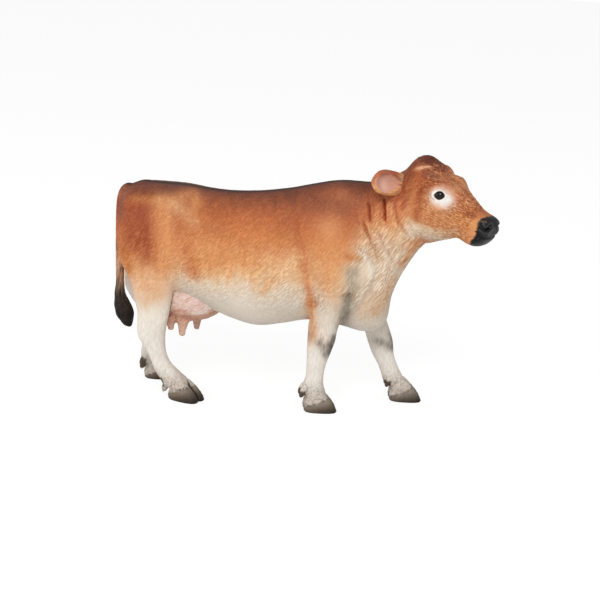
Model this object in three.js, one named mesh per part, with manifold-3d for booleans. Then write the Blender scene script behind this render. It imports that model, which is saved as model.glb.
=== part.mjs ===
// A farm play figure: a dairy cow of solid, painted soft plastic, about 130 mm long.
// It is moulded in ten pieces that are glued together at keyed pegs and sockets: the torso,
// the head with the neck, two ears, four legs, the udder and the tail.
// +X points to the head, +Y to the animal's left and +Z up. The soles stand on z = 0.

import * as THREE from 'three';
import { mergeVertices } from 'three/addons/utils/BufferGeometryUtils.js';
import Module from 'manifold-3d';

const wasm = await Module();
wasm.setup();

// Sizes of the trunk and neck, in millimetres
const bodyLength = 100;      // rump to throat, level
const standHeight = 25;      // ground to belly
const bodyDepth = 50;        // belly to withers
const bodyWidth = 40;        // across the barrel
const throatShift = 3;       // how far the throat leans to the side that the head looks to
const muscleRise = 1.4;      // how far bones and muscles stand out of the skin
const rumpSetBack = 64;      // rear end of the trunk, behind the middle of the figure

// Sizes of the head and ears
const headLength = 32;
const headDepth = 27;        // jaw to poll
const headWidth = 17.6;      // across the brows
const headTurn = THREE.MathUtils.degToRad(28);
const eyeRadius = 1.9;
const nostrilRadius = 1.3;
const mouthGroove = 0.5;     // height and depth of the line of the mouth
const earLength = 14.2;
const earHeight = 9;
const earDepth = 4.6;
const earWall = 1.2;
const earSweeps = { right: THREE.MathUtils.degToRad(14), left: THREE.MathUtils.degToRad(-23) };
const earRise = THREE.MathUtils.degToRad(7);

// Sizes of the legs
const shoulderBreadth = 21;
const shoulderThickness = 11;
const thighBreadth = 25;
const thighThickness = 12;
const cannonBreadth = 6;
const cannonThickness = 5.6;
const hoofLength = 11;
const hoofWidth = 9.4;
const foreHoofHeight = 6;
const hindHoofHeight = 5;
const cleftWidth = 0.7;
const dewclawLength = 4.6;
const dewclawRadius = 1.1;

// Sizes of the udder and tail
const udderLength = 23;
const udderWidth = 24;
const udderDepth = 14.5;
const teatLength = 5.2;
const teatRadius = 1.3;
const tailThickness = 3.2;
const switchThickness = 5.2;

// Joints between the pieces
const jointGap = 0.3;        // room for glue, all round
const seamMargin = 1;        // from the edge of a limb's muscles to its seam
const pegRadius = 3.4;
const pegOvalShare = 1.35;   // an oval peg can't turn in its socket
const webThickness = 3;      // wall of the torso left between a right and a left peg
const neckPegLength = 6;
const neckSocketWall = 1.1;  // between the socket of the neck and the seam of a shoulder
const overrun = 120;         // how far cutting shapes reach past what they cut

// Trunk and neck: top along, top height, low along, low height, half width, widest line, roundness.
// Along is a share of the body length, heights are shares of the body depth above the belly.
const trunkShares = [
  [0.033, 0.74, 0.034, 0.58, 0.12, 0.55, 2.2],
  [0.036, 0.80, 0.042, 0.48, 0.31, 0.58, 2.3],
  [0.044, 0.85, 0.051, 0.385, 0.54, 0.60, 2.4],
  [0.064, 0.888, 0.073, 0.29, 0.70, 0.62, 2.5],
  [0.11, 0.910, 0.115, 0.23, 0.79, 0.64, 2.6],
  [0.175, 0.912, 0.18, 0.19, 0.86, 0.62, 2.6],
  [0.245, 0.910, 0.25, 0.17, 0.89, 0.56, 2.5],
  [0.32, 0.895, 0.33, 0.11, 0.91, 0.49, 2.4],
  [0.40, 0.892, 0.42, 0.045, 0.96, 0.45, 2.3],
  [0.49, 0.908, 0.505, 0.012, 1.0, 0.42, 2.3],
  [0.58, 0.940, 0.59, 0.040, 0.98, 0.42, 2.3],
  [0.66, 0.980, 0.68, 0.078, 0.91, 0.43, 2.3],
  [0.74, 1.01, 0.78, 0.055, 0.85, 0.44, 2.2],
  [0.81, 1.02, 0.865, 0.035, 0.77, 0.45, 2.2],
  [0.87, 1.035, 0.925, 0.10, 0.66, 0.46, 2.1],
  [0.925, 1.09, 0.943, 0.28, 0.56, 0.50, 2.1],
  [0.965, 1.14, 0.975, 0.45, 0.49, 0.52, 2.1],
  [1.0, 1.18, 1.02, 0.61, 0.44, 0.54, 2.1],
  [1.03, 1.10, 1.06, 0.71, 0.30, 0.54, 2.1],
];

const withersShare = 0.74;   // where the neck begins, along the body

// The seam of the neck, from the middle of its peg up to the nape: along and height
const neckSeamShares = [[0.895, 0.58], [0.803, 1.18]];

// Bones and muscles of the trunk: along, height, side, reach along, reach in height and side, rise
const trunkBumpShares = [
  [0.21, 0.80, 0.75, 0.05, 0.14, 0.9],
  [0.06, 0.74, 0.45, 0.04, 0.12, 0.7],
  [0.80, 0.45, 0.70, 0.06, 0.20, 0.7],
  [0.90, 0.10, 0.0, 0.07, 0.20, 0.6],
  [0.76, 0.98, 0.25, 0.08, 0.10, 0.5],
];

// Throat, where the head's own frame stands on the trunk: along and height
const throatShares = [0.99, 0.70];

// Head: the same columns as the trunk, along the head and above the throat
const headShares = [
  [-0.17, 0.60, -0.05, 0.10, 0.55, 0.58, 2.1],
  [-0.12, 0.74, 0.03, 0.0, 0.80, 0.60, 2.1],
  [-0.015, 0.90, 0.17, -0.055, 0.91, 0.61, 2.1],
  [0.11, 0.995, 0.265, -0.025, 0.95, 0.62, 2.2],
  [0.25, 0.93, 0.345, 0.01, 0.99, 0.63, 2.3],
  [0.375, 0.80, 0.42, 0.037, 0.99, 0.65, 2.4],
  [0.485, 0.728, 0.50, 0.067, 0.91, 0.64, 2.4],
  [0.594, 0.64, 0.5625, 0.085, 0.77, 0.60, 2.3],
  [0.70, 0.54, 0.625, 0.06, 0.68, 0.55, 2.3],
  [0.79, 0.456, 0.69, 0.033, 0.67, 0.52, 2.3],
  [0.865, 0.41, 0.766, 0.022, 0.72, 0.50, 2.4],
  [0.92, 0.37, 0.844, 0.048, 0.68, 0.50, 2.4],
  [0.945, 0.28, 0.91, 0.13, 0.42, 0.50, 2.2],
];

// Bones and muscles of the head, with the columns of the trunk's
const headBumpShares = [
  [0.10, 1.0, 0.0, 0.16, 0.20, 0.4],
  [0.445, 0.735, 0.60, 0.095, 0.12, 1.05],
  [0.26, 0.28, 0.80, 0.16, 0.24, 0.7],
  [-0.01, 0.66, 0.80, 0.12, 0.15, 0.9],
  [0.86, 0.30, 0.70, 0.09, 0.14, 0.5],
];

// Places on the head: along, height, side
const eyeShares = [0.42, 0.60, 0.83];
const nostrilShares = [0.895, 0.275, 0.56];
const mouthShares = [0.82, 0.125];
const mouthLengthShare = 0.33;
const earBaseShares = [-0.04, 0.635, 0.72];

// Ear leaf: along, half height, half depth
const earShares = [
  [-0.24, 0.58, 0.42],
  [0.0, 0.72, 0.60],
  [0.12, 0.78, 0.68],
  [0.26, 0.86, 0.85],
  [0.44, 0.95, 1.0],
  [0.62, 1.0, 0.96],
  [0.79, 0.80, 0.75],
  [0.92, 0.48, 0.45],
  [1.0, 0.12, 0.16],
];
const earHollowDepthShare = 0.62;

// Each foreleg: height, along, breadth, side, thickness. Breadth and thickness run from the
// cannon, at 0, to the shoulder, at 1. Heights are shares of the height of the withers.
const rightForelegShares = [
  [0.055, 0.722, 0.08, 0.55, 0.10],
  [0.085, 0.716, 0.10, 0.55, 0.16],
  [0.12, 0.711, 0.05, 0.55, 0.12],
  [0.16, 0.714, -0.01, 0.55, 0.0],
  [0.21, 0.716, 0.03, 0.55, 0.02],
  [0.27, 0.722, 0.13, 0.55, 0.22],
  [0.32, 0.727, 0.21, 0.55, 0.36],
  [0.38, 0.730, 0.25, 0.56, 0.36],
  [0.46, 0.739, 0.37, 0.57, 0.55],
  [0.53, 0.747, 0.56, 0.59, 0.76],
  [0.62, 0.752, 0.82, 0.60, 0.95],
  [0.72, 0.752, 0.98, 0.60, 1.0],
  [0.81, 0.750, 0.93, 0.56, 0.90],
  [0.89, 0.752, 0.62, 0.47, 0.58],
  [0.935, 0.752, 0.25, 0.39, 0.20],
];
const leftForelegShares = [
  [0.055, 1.0, 0.08, 0.55, 0.10],
  [0.085, 0.978, 0.12, 0.55, 0.16],
  [0.12, 0.964, 0.07, 0.55, 0.12],
  [0.16, 0.949, 0.05, 0.55, 0.0],
  [0.21, 0.930, 0.10, 0.55, 0.02],
  [0.27, 0.917, 0.18, 0.55, 0.22],
  [0.32, 0.903, 0.18, 0.55, 0.36],
  [0.38, 0.878, 0.25, 0.56, 0.36],
  [0.46, 0.838, 0.40, 0.57, 0.55],
  [0.53, 0.800, 0.56, 0.59, 0.76],
  [0.62, 0.770, 0.82, 0.60, 0.95],
  [0.72, 0.756, 0.98, 0.60, 1.0],
  [0.81, 0.750, 0.93, 0.56, 0.90],
  [0.89, 0.752, 0.62, 0.47, 0.58],
  [0.935, 0.752, 0.25, 0.39, 0.20],
];

// Each hind leg, with the same columns, from the cannon to the thigh
const rightHindlegShares = [
  [0.05, 0.262, 0.22, 0.55, 0.14],
  [0.085, 0.245, 0.19, 0.55, 0.18],
  [0.12, 0.220, 0.12, 0.55, 0.12],
  [0.16, 0.197, 0.02, 0.55, 0.0],
  [0.21, 0.179, 0.03, 0.55, 0.02],
  [0.27, 0.162, 0.16, 0.55, 0.22],
  [0.32, 0.160, 0.20, 0.55, 0.30],
  [0.38, 0.163, 0.24, 0.55, 0.30],
  [0.44, 0.160, 0.34, 0.56, 0.42],
  [0.52, 0.157, 0.47, 0.58, 0.66],
  [0.61, 0.152, 0.80, 0.59, 0.90],
  [0.71, 0.159, 1.0, 0.59, 1.0],
  [0.80, 0.166, 0.92, 0.57, 0.92],
  [0.87, 0.166, 0.62, 0.49, 0.60],
  [0.91, 0.166, 0.30, 0.41, 0.22],
];
const leftHindlegShares = [
  [0.05, 0.145, 0.12, 0.62, 0.10],
  [0.085, 0.134, 0.13, 0.62, 0.16],
  [0.12, 0.128, 0.09, 0.62, 0.12],
  [0.16, 0.124, 0.02, 0.62, 0.0],
  [0.21, 0.123, 0.03, 0.61, 0.02],
  [0.27, 0.125, 0.12, 0.60, 0.22],
  [0.32, 0.130, 0.22, 0.57, 0.34],
  [0.38, 0.118, 0.42, 0.51, 0.45],
  [0.44, 0.115, 0.62, 0.49, 0.60],
  [0.52, 0.128, 0.79, 0.52, 0.76],
  [0.61, 0.144, 0.92, 0.57, 0.92],
  [0.71, 0.159, 1.0, 0.59, 1.0],
  [0.80, 0.166, 0.92, 0.57, 0.92],
  [0.87, 0.166, 0.62, 0.49, 0.60],
  [0.91, 0.166, 0.30, 0.41, 0.22],
];

// One toe of a hoof: height, heel, tip, width
const toeShares = [
  [0.0, 0.05, 0.98, 0.92],
  [0.14, 0.0, 1.0, 0.98],
  [0.45, 0.0, 0.90, 1.0],
  [0.75, 0.05, 0.76, 0.93],
  [1.0, 0.10, 0.62, 0.80],
  [1.25, 0.20, 0.48, 0.55],
];
const toeInnerShare = 0.35;  // centre of a toe's round outline, from the cleft

// Dewclaws: beside the middle of the foot, their slant, then drop and girth down one
const dewclawSideShare = 0.22;
const dewclawTilt = THREE.MathUtils.degToRad(22);
const dewclawShares = [
  [1.0, 0.25],
  [0.86, 0.70],
  [0.55, 1.0],
  [0.25, 0.82],
  [0.0, 0.42],
];

// Udder bag: height, rear, front, half width
const udderShares = [
  [0.0, 0.20, 0.60, 0.45],
  [0.10, 0.10, 0.77, 0.70],
  [0.27, 0.02, 0.90, 0.90],
  [0.50, 0.0, 1.0, 1.0],
  [0.75, 0.03, 1.0, 1.0],
  [1.0, 0.10, 0.94, 0.92],
];
const udderPlaceShares = [0.172, 0.005];

// Teats: place along the udder, side, length
const teatPlaceShares = [
  [0.185, -0.42, 0.68],
  [0.365, -0.50, 0.98],
  [0.185, 0.42, 0.68],
  [0.51, 0.42, 1.0],
];
const teatShares = [
  [1.0, 0.45],
  [0.92, 0.78],
  [0.60, 0.92],
  [0.30, 1.15],
  [0.0, 1.7],
  [-0.4, 2.2],
];

// Tail: along, height and thickness, from the dock to the tip of the switch
const tailShares = [
  [0.085, 0.80, 0.90],
  [0.060, 0.850, 1.0],
  [0.036, 0.850, 1.10],
  [0.0225, 0.79, 1.08],
  [0.0195, 0.68, 1.04],
  [0.0205, 0.56, 1.0],
  [0.0225, 0.42, 0.96],
  [0.0250, 0.29, 0.90],
  [0.0275, 0.19, 0.92],
];
const switchShares = [
  [0.030, 0.12, 0.76],
  [0.038, 0.055, 1.04],
  [0.050, -0.005, 1.12],
  [0.061, -0.065, 0.68],
  [0.068, -0.092, 0.18],
];

// Each foot: its angle to the line of the body, outwards where positive, the height of its hoof,
// the middle of the leg over the hoof, from the heel, and the place of the dewclaws' roots,
// before the heel and above the sole
const feet = {
  foreleg_right: {
    turn: THREE.MathUtils.degToRad(-10), hoofHeight: foreHoofHeight, coronetShare: 0.36, clawShares: [0.03, 1.5],
  },
  foreleg_left: {
    turn: THREE.MathUtils.degToRad(8), hoofHeight: foreHoofHeight, coronetShare: 0.36, clawShares: [0.03, 1.5],
  },
  hindleg_right: {
    turn: THREE.MathUtils.degToRad(24), hoofHeight: hindHoofHeight, coronetShare: 0.22, clawShares: [-0.06, 1.2],
  },
  hindleg_left: {
    turn: THREE.MathUtils.degToRad(12), hoofHeight: hindHoofHeight, coronetShare: 0.36, clawShares: [0.03, 1.5],
  },
};

// Roundness of rings: 2 is an ellipse, more is squarer
const limbRoundness = 2.3;
const toeRoundness = 2.4;
const udderRoundness = 2.2;
const roundEllipse = 2;

// Counts of rings and of points round a ring
const trunkRings = 34;
const trunkPoints = 26;
const headRings = 24;
const headPoints = 22;
const limbRings = 20;
const limbPoints = 14;
const earRings = 14;
const tailRings = 26;
const udderRings = 10;
const roundPoints = 20;
const toePoints = 12;
const smallPoints = 10;
const ballRings = 7;

const stature = standHeight + bodyDepth;
const halfWidth = bodyWidth / 2;
const alongAt = (share) => share * bodyLength - rumpSetBack;
const heightAt = (share) => standHeight + share * bodyDepth;
const power = (value, exponent) => Math.sign(value) * Math.abs(value) ** exponent;

// Rows between the rows of a table, on a smooth curve through them.
function smoothRows(table, count) {
  const places = table.map((row, index) => index);
  const curve = new THREE.CubicInterpolant(places, table.flat(), table[0].length);
  const last = table.length - 1;
  const steps = Array.from({ length: count }, (_, index) => last * index / (count - 1));
  return steps.map((step) => Array.from(curve.evaluate(step)));
}

function middleOf(ring) {
  return ring.reduce((sum, point) => sum.add(point), new THREE.Vector3()).divideScalar(ring.length);
}

// A closed skin over a row of rings with equally many points, turning anticlockwise about the
// way the row runs, with a fan over each end.
function skin(rings) {
  const size = rings[0].length;
  const points = [...rings.flat(), middleOf(rings[0]), middleOf(rings.at(-1))];
  const startMiddle = points.length - 2;
  const endMiddle = points.length - 1;
  const endRing = (rings.length - 1) * size;
  const faces = [];
  for (let corner = 0; corner < size; corner += 1) {
    const next = (corner + 1) % size;
    faces.push(startMiddle, next, corner);
    faces.push(endMiddle, endRing + corner, endRing + next);
    for (let ring = 0; ring < endRing; ring += size) {
      faces.push(ring + corner, ring + next, ring + size + corner);
      faces.push(ring + next, ring + size + next, ring + size + corner);
    }
  }
  return new THREE.BufferGeometry().setFromPoints(points).setIndex(faces);
}

function solidOf(geometry) {
  const bare = geometry.clone();
  bare.deleteAttribute('normal');
  bare.deleteAttribute('uv');
  const merged = mergeVertices(bare);
  return new wasm.Manifold(new wasm.Mesh({
    numProp: 3,
    vertProperties: new Float32Array(merged.attributes.position.array),
    triVerts: new Uint32Array(merged.index.array),
  }));
}

// An oval ring, squarer as its roundness grows past 2.
function ovalRing(centre, across, up, count, roundness) {
  return Array.from({ length: count }, (_, index) => {
    const angle = 2 * Math.PI * index / count;
    return centre.clone()
      .addScaledVector(across, power(Math.cos(angle), 2 / roundness))
      .addScaledVector(up, power(Math.sin(angle), 2 / roundness));
  });
}

// A ring of the body between its top and its low point, widest somewhere between them.
function bodyRing(top, low, side, widest, roundness, count) {
  return Array.from({ length: count }, (_, index) => {
    const angle = 2 * Math.PI * index / count;
    const rise = power(Math.sin(angle), 2 / roundness);
    const level = widest + rise * (rise > 0 ? 1 - widest : widest);
    return low.clone().lerp(top, level).addScaledVector(side, power(Math.cos(angle), 2 / roundness));
  });
}

// Bones and muscles push the skin outwards from the middle of its ring.
function swell(rings, bumps) {
  for (const ring of rings) {
    const middle = middleOf(ring);
    for (const point of ring) {
      const outward = point.clone().sub(middle).normalize();
      for (const { at, reach, rise } of bumps) {
        const near = point.clone().sub(at).divide(reach).length();
        point.addScaledVector(outward, rise * Math.exp(-near * near));
      }
    }
  }
  return rings;
}

// A table's bumps, the same on both sides of the middle plane.
function bumpsOf(table, placeOf, length, depth, width) {
  return table.flatMap(([along, height, side, reachAlong, reachUp, rise]) => {
    const flanks = side > 0 ? [-1, 1] : [1];
    return flanks.map((flank) => ({
      at: placeOf(along, height, flank * side * width),
      reach: new THREE.Vector3(reachAlong * length, reachUp * depth, reachUp * depth),
      rise: rise * muscleRise,
    }));
  });
}

// The neck leans to the right, the side that the head looks to.
function leanAt(along) {
  const past = Math.max(0, along - withersShare) / (1 - withersShare);
  return -throatShift * past * past;
}

function trunkPlace(along, height, side) {
  return new THREE.Vector3(alongAt(along), side, heightAt(height));
}

function trunkForm() {
  const rings = smoothRows(trunkShares, trunkRings).map((row) => {
    const [topAlong, topHeight, lowAlong, lowHeight, width, widest, roundness] = row;
    const top = trunkPlace(topAlong, topHeight, leanAt(topAlong));
    const low = trunkPlace(lowAlong, lowHeight, leanAt(lowAlong));
    return bodyRing(top, low, new THREE.Vector3(0, width * halfWidth, 0), widest, roundness, trunkPoints);
  });
  const bumps = bumpsOf(trunkBumpShares, trunkPlace, bodyLength, bodyDepth, halfWidth);
  return solidOf(skin(swell(rings, bumps)));
}

// The head has its own frame: along the head from the throat, to its left and up.
const [throatAlong, throatHeight] = throatShares;
const headFrame = new THREE.Matrix4()
  .makeRotationZ(-headTurn)
  .setPosition(alongAt(throatAlong), -throatShift, heightAt(throatHeight));

function headPlace(along, height, side) {
  return new THREE.Vector3(along * headLength, side, height * headDepth);
}

function headForm(grow) {
  const rings = smoothRows(headShares, headRings).map((row) => {
    const [topAlong, topHeight, lowAlong, lowHeight, width, widest, roundness] = row;
    const top = headPlace(topAlong, topHeight, 0);
    const low = headPlace(lowAlong, lowHeight, 0);
    const rise = top.clone().sub(low).setLength(grow);
    const side = new THREE.Vector3(0, width * headWidth / 2 + grow, 0);
    return bodyRing(top.add(rise), low.sub(rise), side, widest, roundness, headPoints);
  });
  const bumps = bumpsOf(headBumpShares, headPlace, headLength, headDepth, headWidth / 2);
  return solidOf(skin(swell(rings, bumps)).applyMatrix4(headFrame));
}

function ball(radii, frame) {
  const shape = new THREE.SphereGeometry(1, smallPoints, ballRings);
  return solidOf(shape.scale(radii.x, radii.y, radii.z).applyMatrix4(frame));
}

function headBall([along, height, side], flank, radii) {
  const centre = headPlace(along, height, flank * side * headWidth / 2);
  return ball(radii, headFrame.clone().multiply(new THREE.Matrix4().setPosition(centre)));
}

// The line of the mouth is a shallow groove round the front of the muzzle.
function mouthLine() {
  const [along, height] = mouthShares;
  const slab = new THREE.BoxGeometry(mouthLengthShare * headLength, headWidth, mouthGroove);
  const centre = headPlace(along, height, 0);
  slab.applyMatrix4(new THREE.Matrix4().setPosition(centre)).applyMatrix4(headFrame);
  return solidOf(slab).subtract(headForm(-mouthGroove));
}

// The ear has its own frame too: from root to tip, across the leaf, and towards its open side.
function earFrame(flank) {
  const sweep = flank > 0 ? earSweeps.left : earSweeps.right;
  const [along, height, side] = earBaseShares;
  const root = headPlace(along, height, flank * side * headWidth / 2);
  const level = flank * Math.cos(sweep);
  const out = new THREE.Vector3(-Math.sin(sweep), level, Math.sin(earRise)).normalize();
  const front = new THREE.Vector3(1, 0, 0).addScaledVector(out, -out.x).normalize();
  const edge = front.clone().cross(out);
  return headFrame.clone().multiply(new THREE.Matrix4().makeBasis(out, edge, front).setPosition(root));
}

function earLeaf(flank, grow) {
  const rings = smoothRows(earShares, earRings).map(([along, height, depth]) => {
    const centre = new THREE.Vector3(along * earLength, 0, 0);
    const across = new THREE.Vector3(0, height * earHeight / 2 + grow, 0);
    const through = new THREE.Vector3(0, 0, depth * earDepth / 2 + grow);
    return ovalRing(centre, across, through, smallPoints, roundEllipse);
  });
  return solidOf(skin(rings).applyMatrix4(earFrame(flank)));
}

function earHollow(flank) {
  const rings = smoothRows(earShares.slice(3, -1), earRings / 2).map(([along, height, depth]) => {
    const centre = new THREE.Vector3(along * earLength, 0, earHollowDepthShare * earDepth / 2 + earWall / 2);
    const across = new THREE.Vector3(0, height * earHeight / 2 - earWall, 0);
    const through = new THREE.Vector3(0, 0, depth * earDepth / 2);
    return ovalRing(centre, across, through, smallPoints, roundEllipse);
  });
  return solidOf(skin(rings).applyMatrix4(earFrame(flank)));
}

// A limb's rows as real sizes: height, along, half breadth, side, half thickness.
function limbRows(table, flank, breadth, thickness) {
  return smoothRows(table, limbRings).map(([height, along, wide, side, thick]) => ({
    height: height * stature,
    along: alongAt(along),
    halfBreadth: (cannonBreadth + wide * (breadth - cannonBreadth)) / 2,
    side: flank * side * halfWidth,
    halfThickness: (cannonThickness + thick * (thickness - cannonThickness)) / 2,
  }));
}

function limbForm(rows, grow) {
  return solidOf(skin(rows.map((row) => ovalRing(
    new THREE.Vector3(row.along, row.side, row.height),
    new THREE.Vector3(row.halfBreadth + grow, 0, 0),
    new THREE.Vector3(0, row.halfThickness + grow, 0),
    limbPoints,
    limbRoundness,
  ))));
}

// The part of the trunk's skin that is moulded with the limb: everything outwards of it.
function limbZone(rows, flank, grow) {
  const reach = seamMargin + grow;
  return solidOf(skin(rows.map((row) => {
    const rear = row.along - row.halfBreadth - reach;
    const front = row.along + row.halfBreadth + reach;
    const inner = row.side - flank * (row.halfThickness + reach);
    const outer = flank * overrun;
    const low = Math.min(inner, outer);
    const high = Math.max(inner, outer);
    return [[rear, low], [front, low], [front, high], [rear, high]]
      .map(([x, y]) => new THREE.Vector3(x, y, row.height));
  })));
}

function thickestOf(rows) {
  return rows.reduce((best, row) => (row.halfBreadth > best.halfBreadth ? row : best));
}

// The oval peg runs from the thickest row of the limb to the web in the middle of the torso.
function limbPeg(rows, flank, grow) {
  const root = thickestOf(rows);
  const tip = flank * (webThickness / 2 - grow);
  const length = Math.abs(root.side - tip);
  const peg = new THREE.CylinderGeometry(pegRadius + grow, pegRadius + grow, length, roundPoints);
  peg.scale(pegOvalShare, 1, 1).translate(root.along, (root.side + tip) / 2, root.height);
  return solidOf(peg);
}

// A toe is round outside and flat where it faces the cleft.
function toeForm(side, hoofHeight) {
  const toeWidth = (hoofWidth - cleftWidth) / 2;
  const middle = side * (cleftWidth / 2 + toeInnerShare * toeWidth);
  return skin(toeShares.map(([height, heel, tip, width]) => ovalRing(
    new THREE.Vector3((heel + tip) * hoofLength / 2, middle, height * hoofHeight),
    new THREE.Vector3((tip - heel) * hoofLength / 2, 0, 0),
    new THREE.Vector3(0, (width - toeInnerShare) * toeWidth, 0),
    toePoints,
    toeRoundness,
  ).map((point) => point.setY(side * Math.max(cleftWidth / 2, side * point.y)))));
}

// A dewclaw is a drop of horn that hangs from its root.
function clawForm() {
  return skin(dewclawShares.map(([drop, girth]) => ovalRing(
    new THREE.Vector3(0, 0, -drop * dewclawLength),
    new THREE.Vector3(girth * dewclawRadius, 0, 0),
    new THREE.Vector3(0, girth * dewclawRadius, 0),
    smallPoints,
    roundEllipse,
  )));
}

// A cloven hoof with its two dewclaws, under the lowest row of its limb.
function footForm(row, flank, { turn, hoofHeight, coronetShare, clawShares }) {
  const setBack = new THREE.Matrix4().setPosition(-coronetShare * hoofLength, 0, 0);
  const frame = new THREE.Matrix4()
    .makeRotationZ(flank * turn)
    .setPosition(row.along, row.side, 0)
    .multiply(setBack);
  const [before, above] = clawShares;
  const tilt = new THREE.Matrix4().makeRotationY(dewclawTilt);
  const toes = [-1, 1].map((side) => solidOf(toeForm(side, hoofHeight).applyMatrix4(frame)));
  let foot = toes[0].add(toes[1]);
  for (const side of [-1, 1]) {
    const beside = side * dewclawSideShare * hoofWidth;
    const place = new THREE.Vector3(before * hoofLength, beside, above * hoofHeight);
    const root = frame.clone().multiply(tilt.clone().setPosition(place));
    foot = foot.add(solidOf(clawForm().applyMatrix4(root)));
  }
  return foot;
}

function udderPlace(along, height, side) {
  const [placeAlong, placeHeight] = udderPlaceShares;
  return new THREE.Vector3(
    alongAt(placeAlong) + along * udderLength,
    side * udderWidth / 2,
    heightAt(placeHeight) + height * udderDepth,
  );
}

function udderBag(grow) {
  return solidOf(skin(smoothRows(udderShares, udderRings).map(([height, rear, front, width]) => {
    const lift = grow * (2 * height - 1);
    return ovalRing(
      udderPlace((rear + front) / 2, height, 0).add(new THREE.Vector3(0, 0, lift)),
      new THREE.Vector3((front - rear) * udderLength / 2 + grow, 0, 0),
      new THREE.Vector3(0, width * udderWidth / 2 + grow, 0),
      roundPoints,
      udderRoundness,
    );
  })));
}

function teatForm([along, side, length]) {
  const root = udderPlace(along, 0, side);
  return solidOf(skin(teatShares.map(([drop, girth]) => ovalRing(
    root.clone().add(new THREE.Vector3(0, 0, -drop * length * teatLength)),
    new THREE.Vector3(girth * teatRadius, 0, 0),
    new THREE.Vector3(0, girth * teatRadius, 0),
    smallPoints,
    roundEllipse,
  ))));
}

// The tail hangs in the middle plane, so its rings stand square to its line in that plane.
function tailForm(grow) {
  const rowsOf = (table, thickness) => table.map(([along, height, girth]) => [
    alongAt(along),
    heightAt(height),
    girth * thickness / 2,
  ]);
  const stations = [...rowsOf(tailShares, tailThickness), ...rowsOf(switchShares, switchThickness)];
  const rows = smoothRows(stations, tailRings);
  const across = new THREE.Vector3(0, 1, 0);
  return solidOf(skin(rows.map(([x, z, girth], index) => {
    const before = rows[Math.max(0, index - 1)];
    const after = rows[Math.min(rows.length - 1, index + 1)];
    const run = new THREE.Vector3(after[0] - before[0], 0, after[1] - before[1]).normalize();
    const outward = across.clone().cross(run);
    return ovalRing(
      new THREE.Vector3(x, 0, z),
      outward.multiplyScalar(-girth - grow),
      across.clone().multiplyScalar(-girth - grow),
      smallPoints,
      roundEllipse,
    );
  })));
}

// Everything in front of the neck's seam, a plane that leans as the folds of the neck do.
const [neckPegPlace, nape] = neckSeamShares.map(([along, height]) => trunkPlace(along, height, 0));
const neckSeamRise = nape.clone().sub(neckPegPlace);
const neckSeam = new THREE.Matrix4()
  .makeRotationY(Math.atan2(neckSeamRise.x, neckSeamRise.z))
  .setPosition(neckPegPlace);

function frontOfNeck(grow) {
  const block = new THREE.BoxGeometry(overrun, overrun, overrun).translate(overrun / 2 - grow, 0, 0);
  return solidOf(block.applyMatrix4(neckSeam));
}

// The neck's peg is as wide as the room between the two shoulders allows.
function neckPeg(grow) {
  const rows = limbRows(rightForelegShares, 1, shoulderBreadth, shoulderThickness);
  const { side, halfThickness } = thickestOf(rows);
  const room = side - halfThickness - seamMargin - 2 * jointGap - neckSocketWall;
  const length = 2 * neckPegLength + grow;
  const peg = new THREE.CylinderGeometry(room + grow, room + grow, length, roundPoints);
  peg.rotateZ(Math.PI / 2).scale(1, 1, pegOvalShare).translate(-grow / 2, 0, 0);
  return solidOf(peg.applyMatrix4(neckSeam));
}

function meshOf(name, solid, material) {
  const { vertProperties, triVerts } = solid.getMesh();
  const geometry = new THREE.BufferGeometry();
  geometry.setAttribute('position', new THREE.BufferAttribute(vertProperties, 3));
  geometry.setIndex(new THREE.BufferAttribute(triVerts, 1));
  geometry.computeVertexNormals();
  const mesh = new THREE.Mesh(geometry, material);
  mesh.name = name;
  return mesh;
}

const paint = (color, roughness) => new THREE.MeshStandardMaterial({ color, roughness, metalness: 0 });
const coatPaint = paint(0xc98046, 0.6);
const facePaint = paint(0xc07a45, 0.6);
const earPaint = paint(0xc48a68, 0.6);
const legPaint = paint(0xded3c4, 0.6);
const udderPaint = paint(0xe0bba9, 0.5);
const tailPaint = paint(0x7c5236, 0.6);

const limbs = [
  ['foreleg_right', rightForelegShares, -1, shoulderBreadth, shoulderThickness],
  ['foreleg_left', leftForelegShares, 1, shoulderBreadth, shoulderThickness],
  ['hindleg_right', rightHindlegShares, -1, thighBreadth, thighThickness],
  ['hindleg_left', leftHindlegShares, 1, thighBreadth, thighThickness],
];

const figure = new THREE.Group();
const trunk = trunkForm().subtract(udderBag(jointGap)).subtract(tailForm(jointGap));

let torso = trunk.subtract(frontOfNeck(jointGap)).subtract(neckPeg(jointGap));
let udder = udderBag(0);
for (const place of teatPlaceShares) {
  udder = udder.add(teatForm(place));
}
for (const [name, table, flank, breadth, thickness] of limbs) {
  const rows = limbRows(table, flank, breadth, thickness);
  const limb = trunk.intersect(limbZone(rows, flank, 0))
    .add(limbForm(rows, 0))
    .add(limbPeg(rows, flank, 0))
    .add(footForm(rows[0], flank, feet[name]));
  torso = torso.subtract(limbZone(rows, flank, jointGap)).subtract(limbPeg(rows, flank, jointGap));
  udder = udder.subtract(limbForm(rows, jointGap));
  figure.add(meshOf(name, limb, legPaint));
}

let head = trunk.intersect(frontOfNeck(0))
  .add(neckPeg(0))
  .add(headForm(0))
  .subtract(mouthLine());
for (const [side, flank] of [['right', -1], ['left', 1]]) {
  head = head
    .add(headBall(eyeShares, flank, new THREE.Vector3(eyeRadius, eyeRadius, eyeRadius)))
    .subtract(headBall(nostrilShares, flank, new THREE.Vector3(nostrilRadius, nostrilRadius, nostrilRadius)))
    .subtract(earLeaf(flank, jointGap));
  figure.add(meshOf(`ear_${side}`, earLeaf(flank, 0).subtract(earHollow(flank)), earPaint));
}

figure.add(meshOf('torso', torso, coatPaint));
figure.add(meshOf('head', head, facePaint));
figure.add(meshOf('udder', udder, udderPaint));
figure.add(meshOf('tail', tailForm(0), tailPaint));

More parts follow.
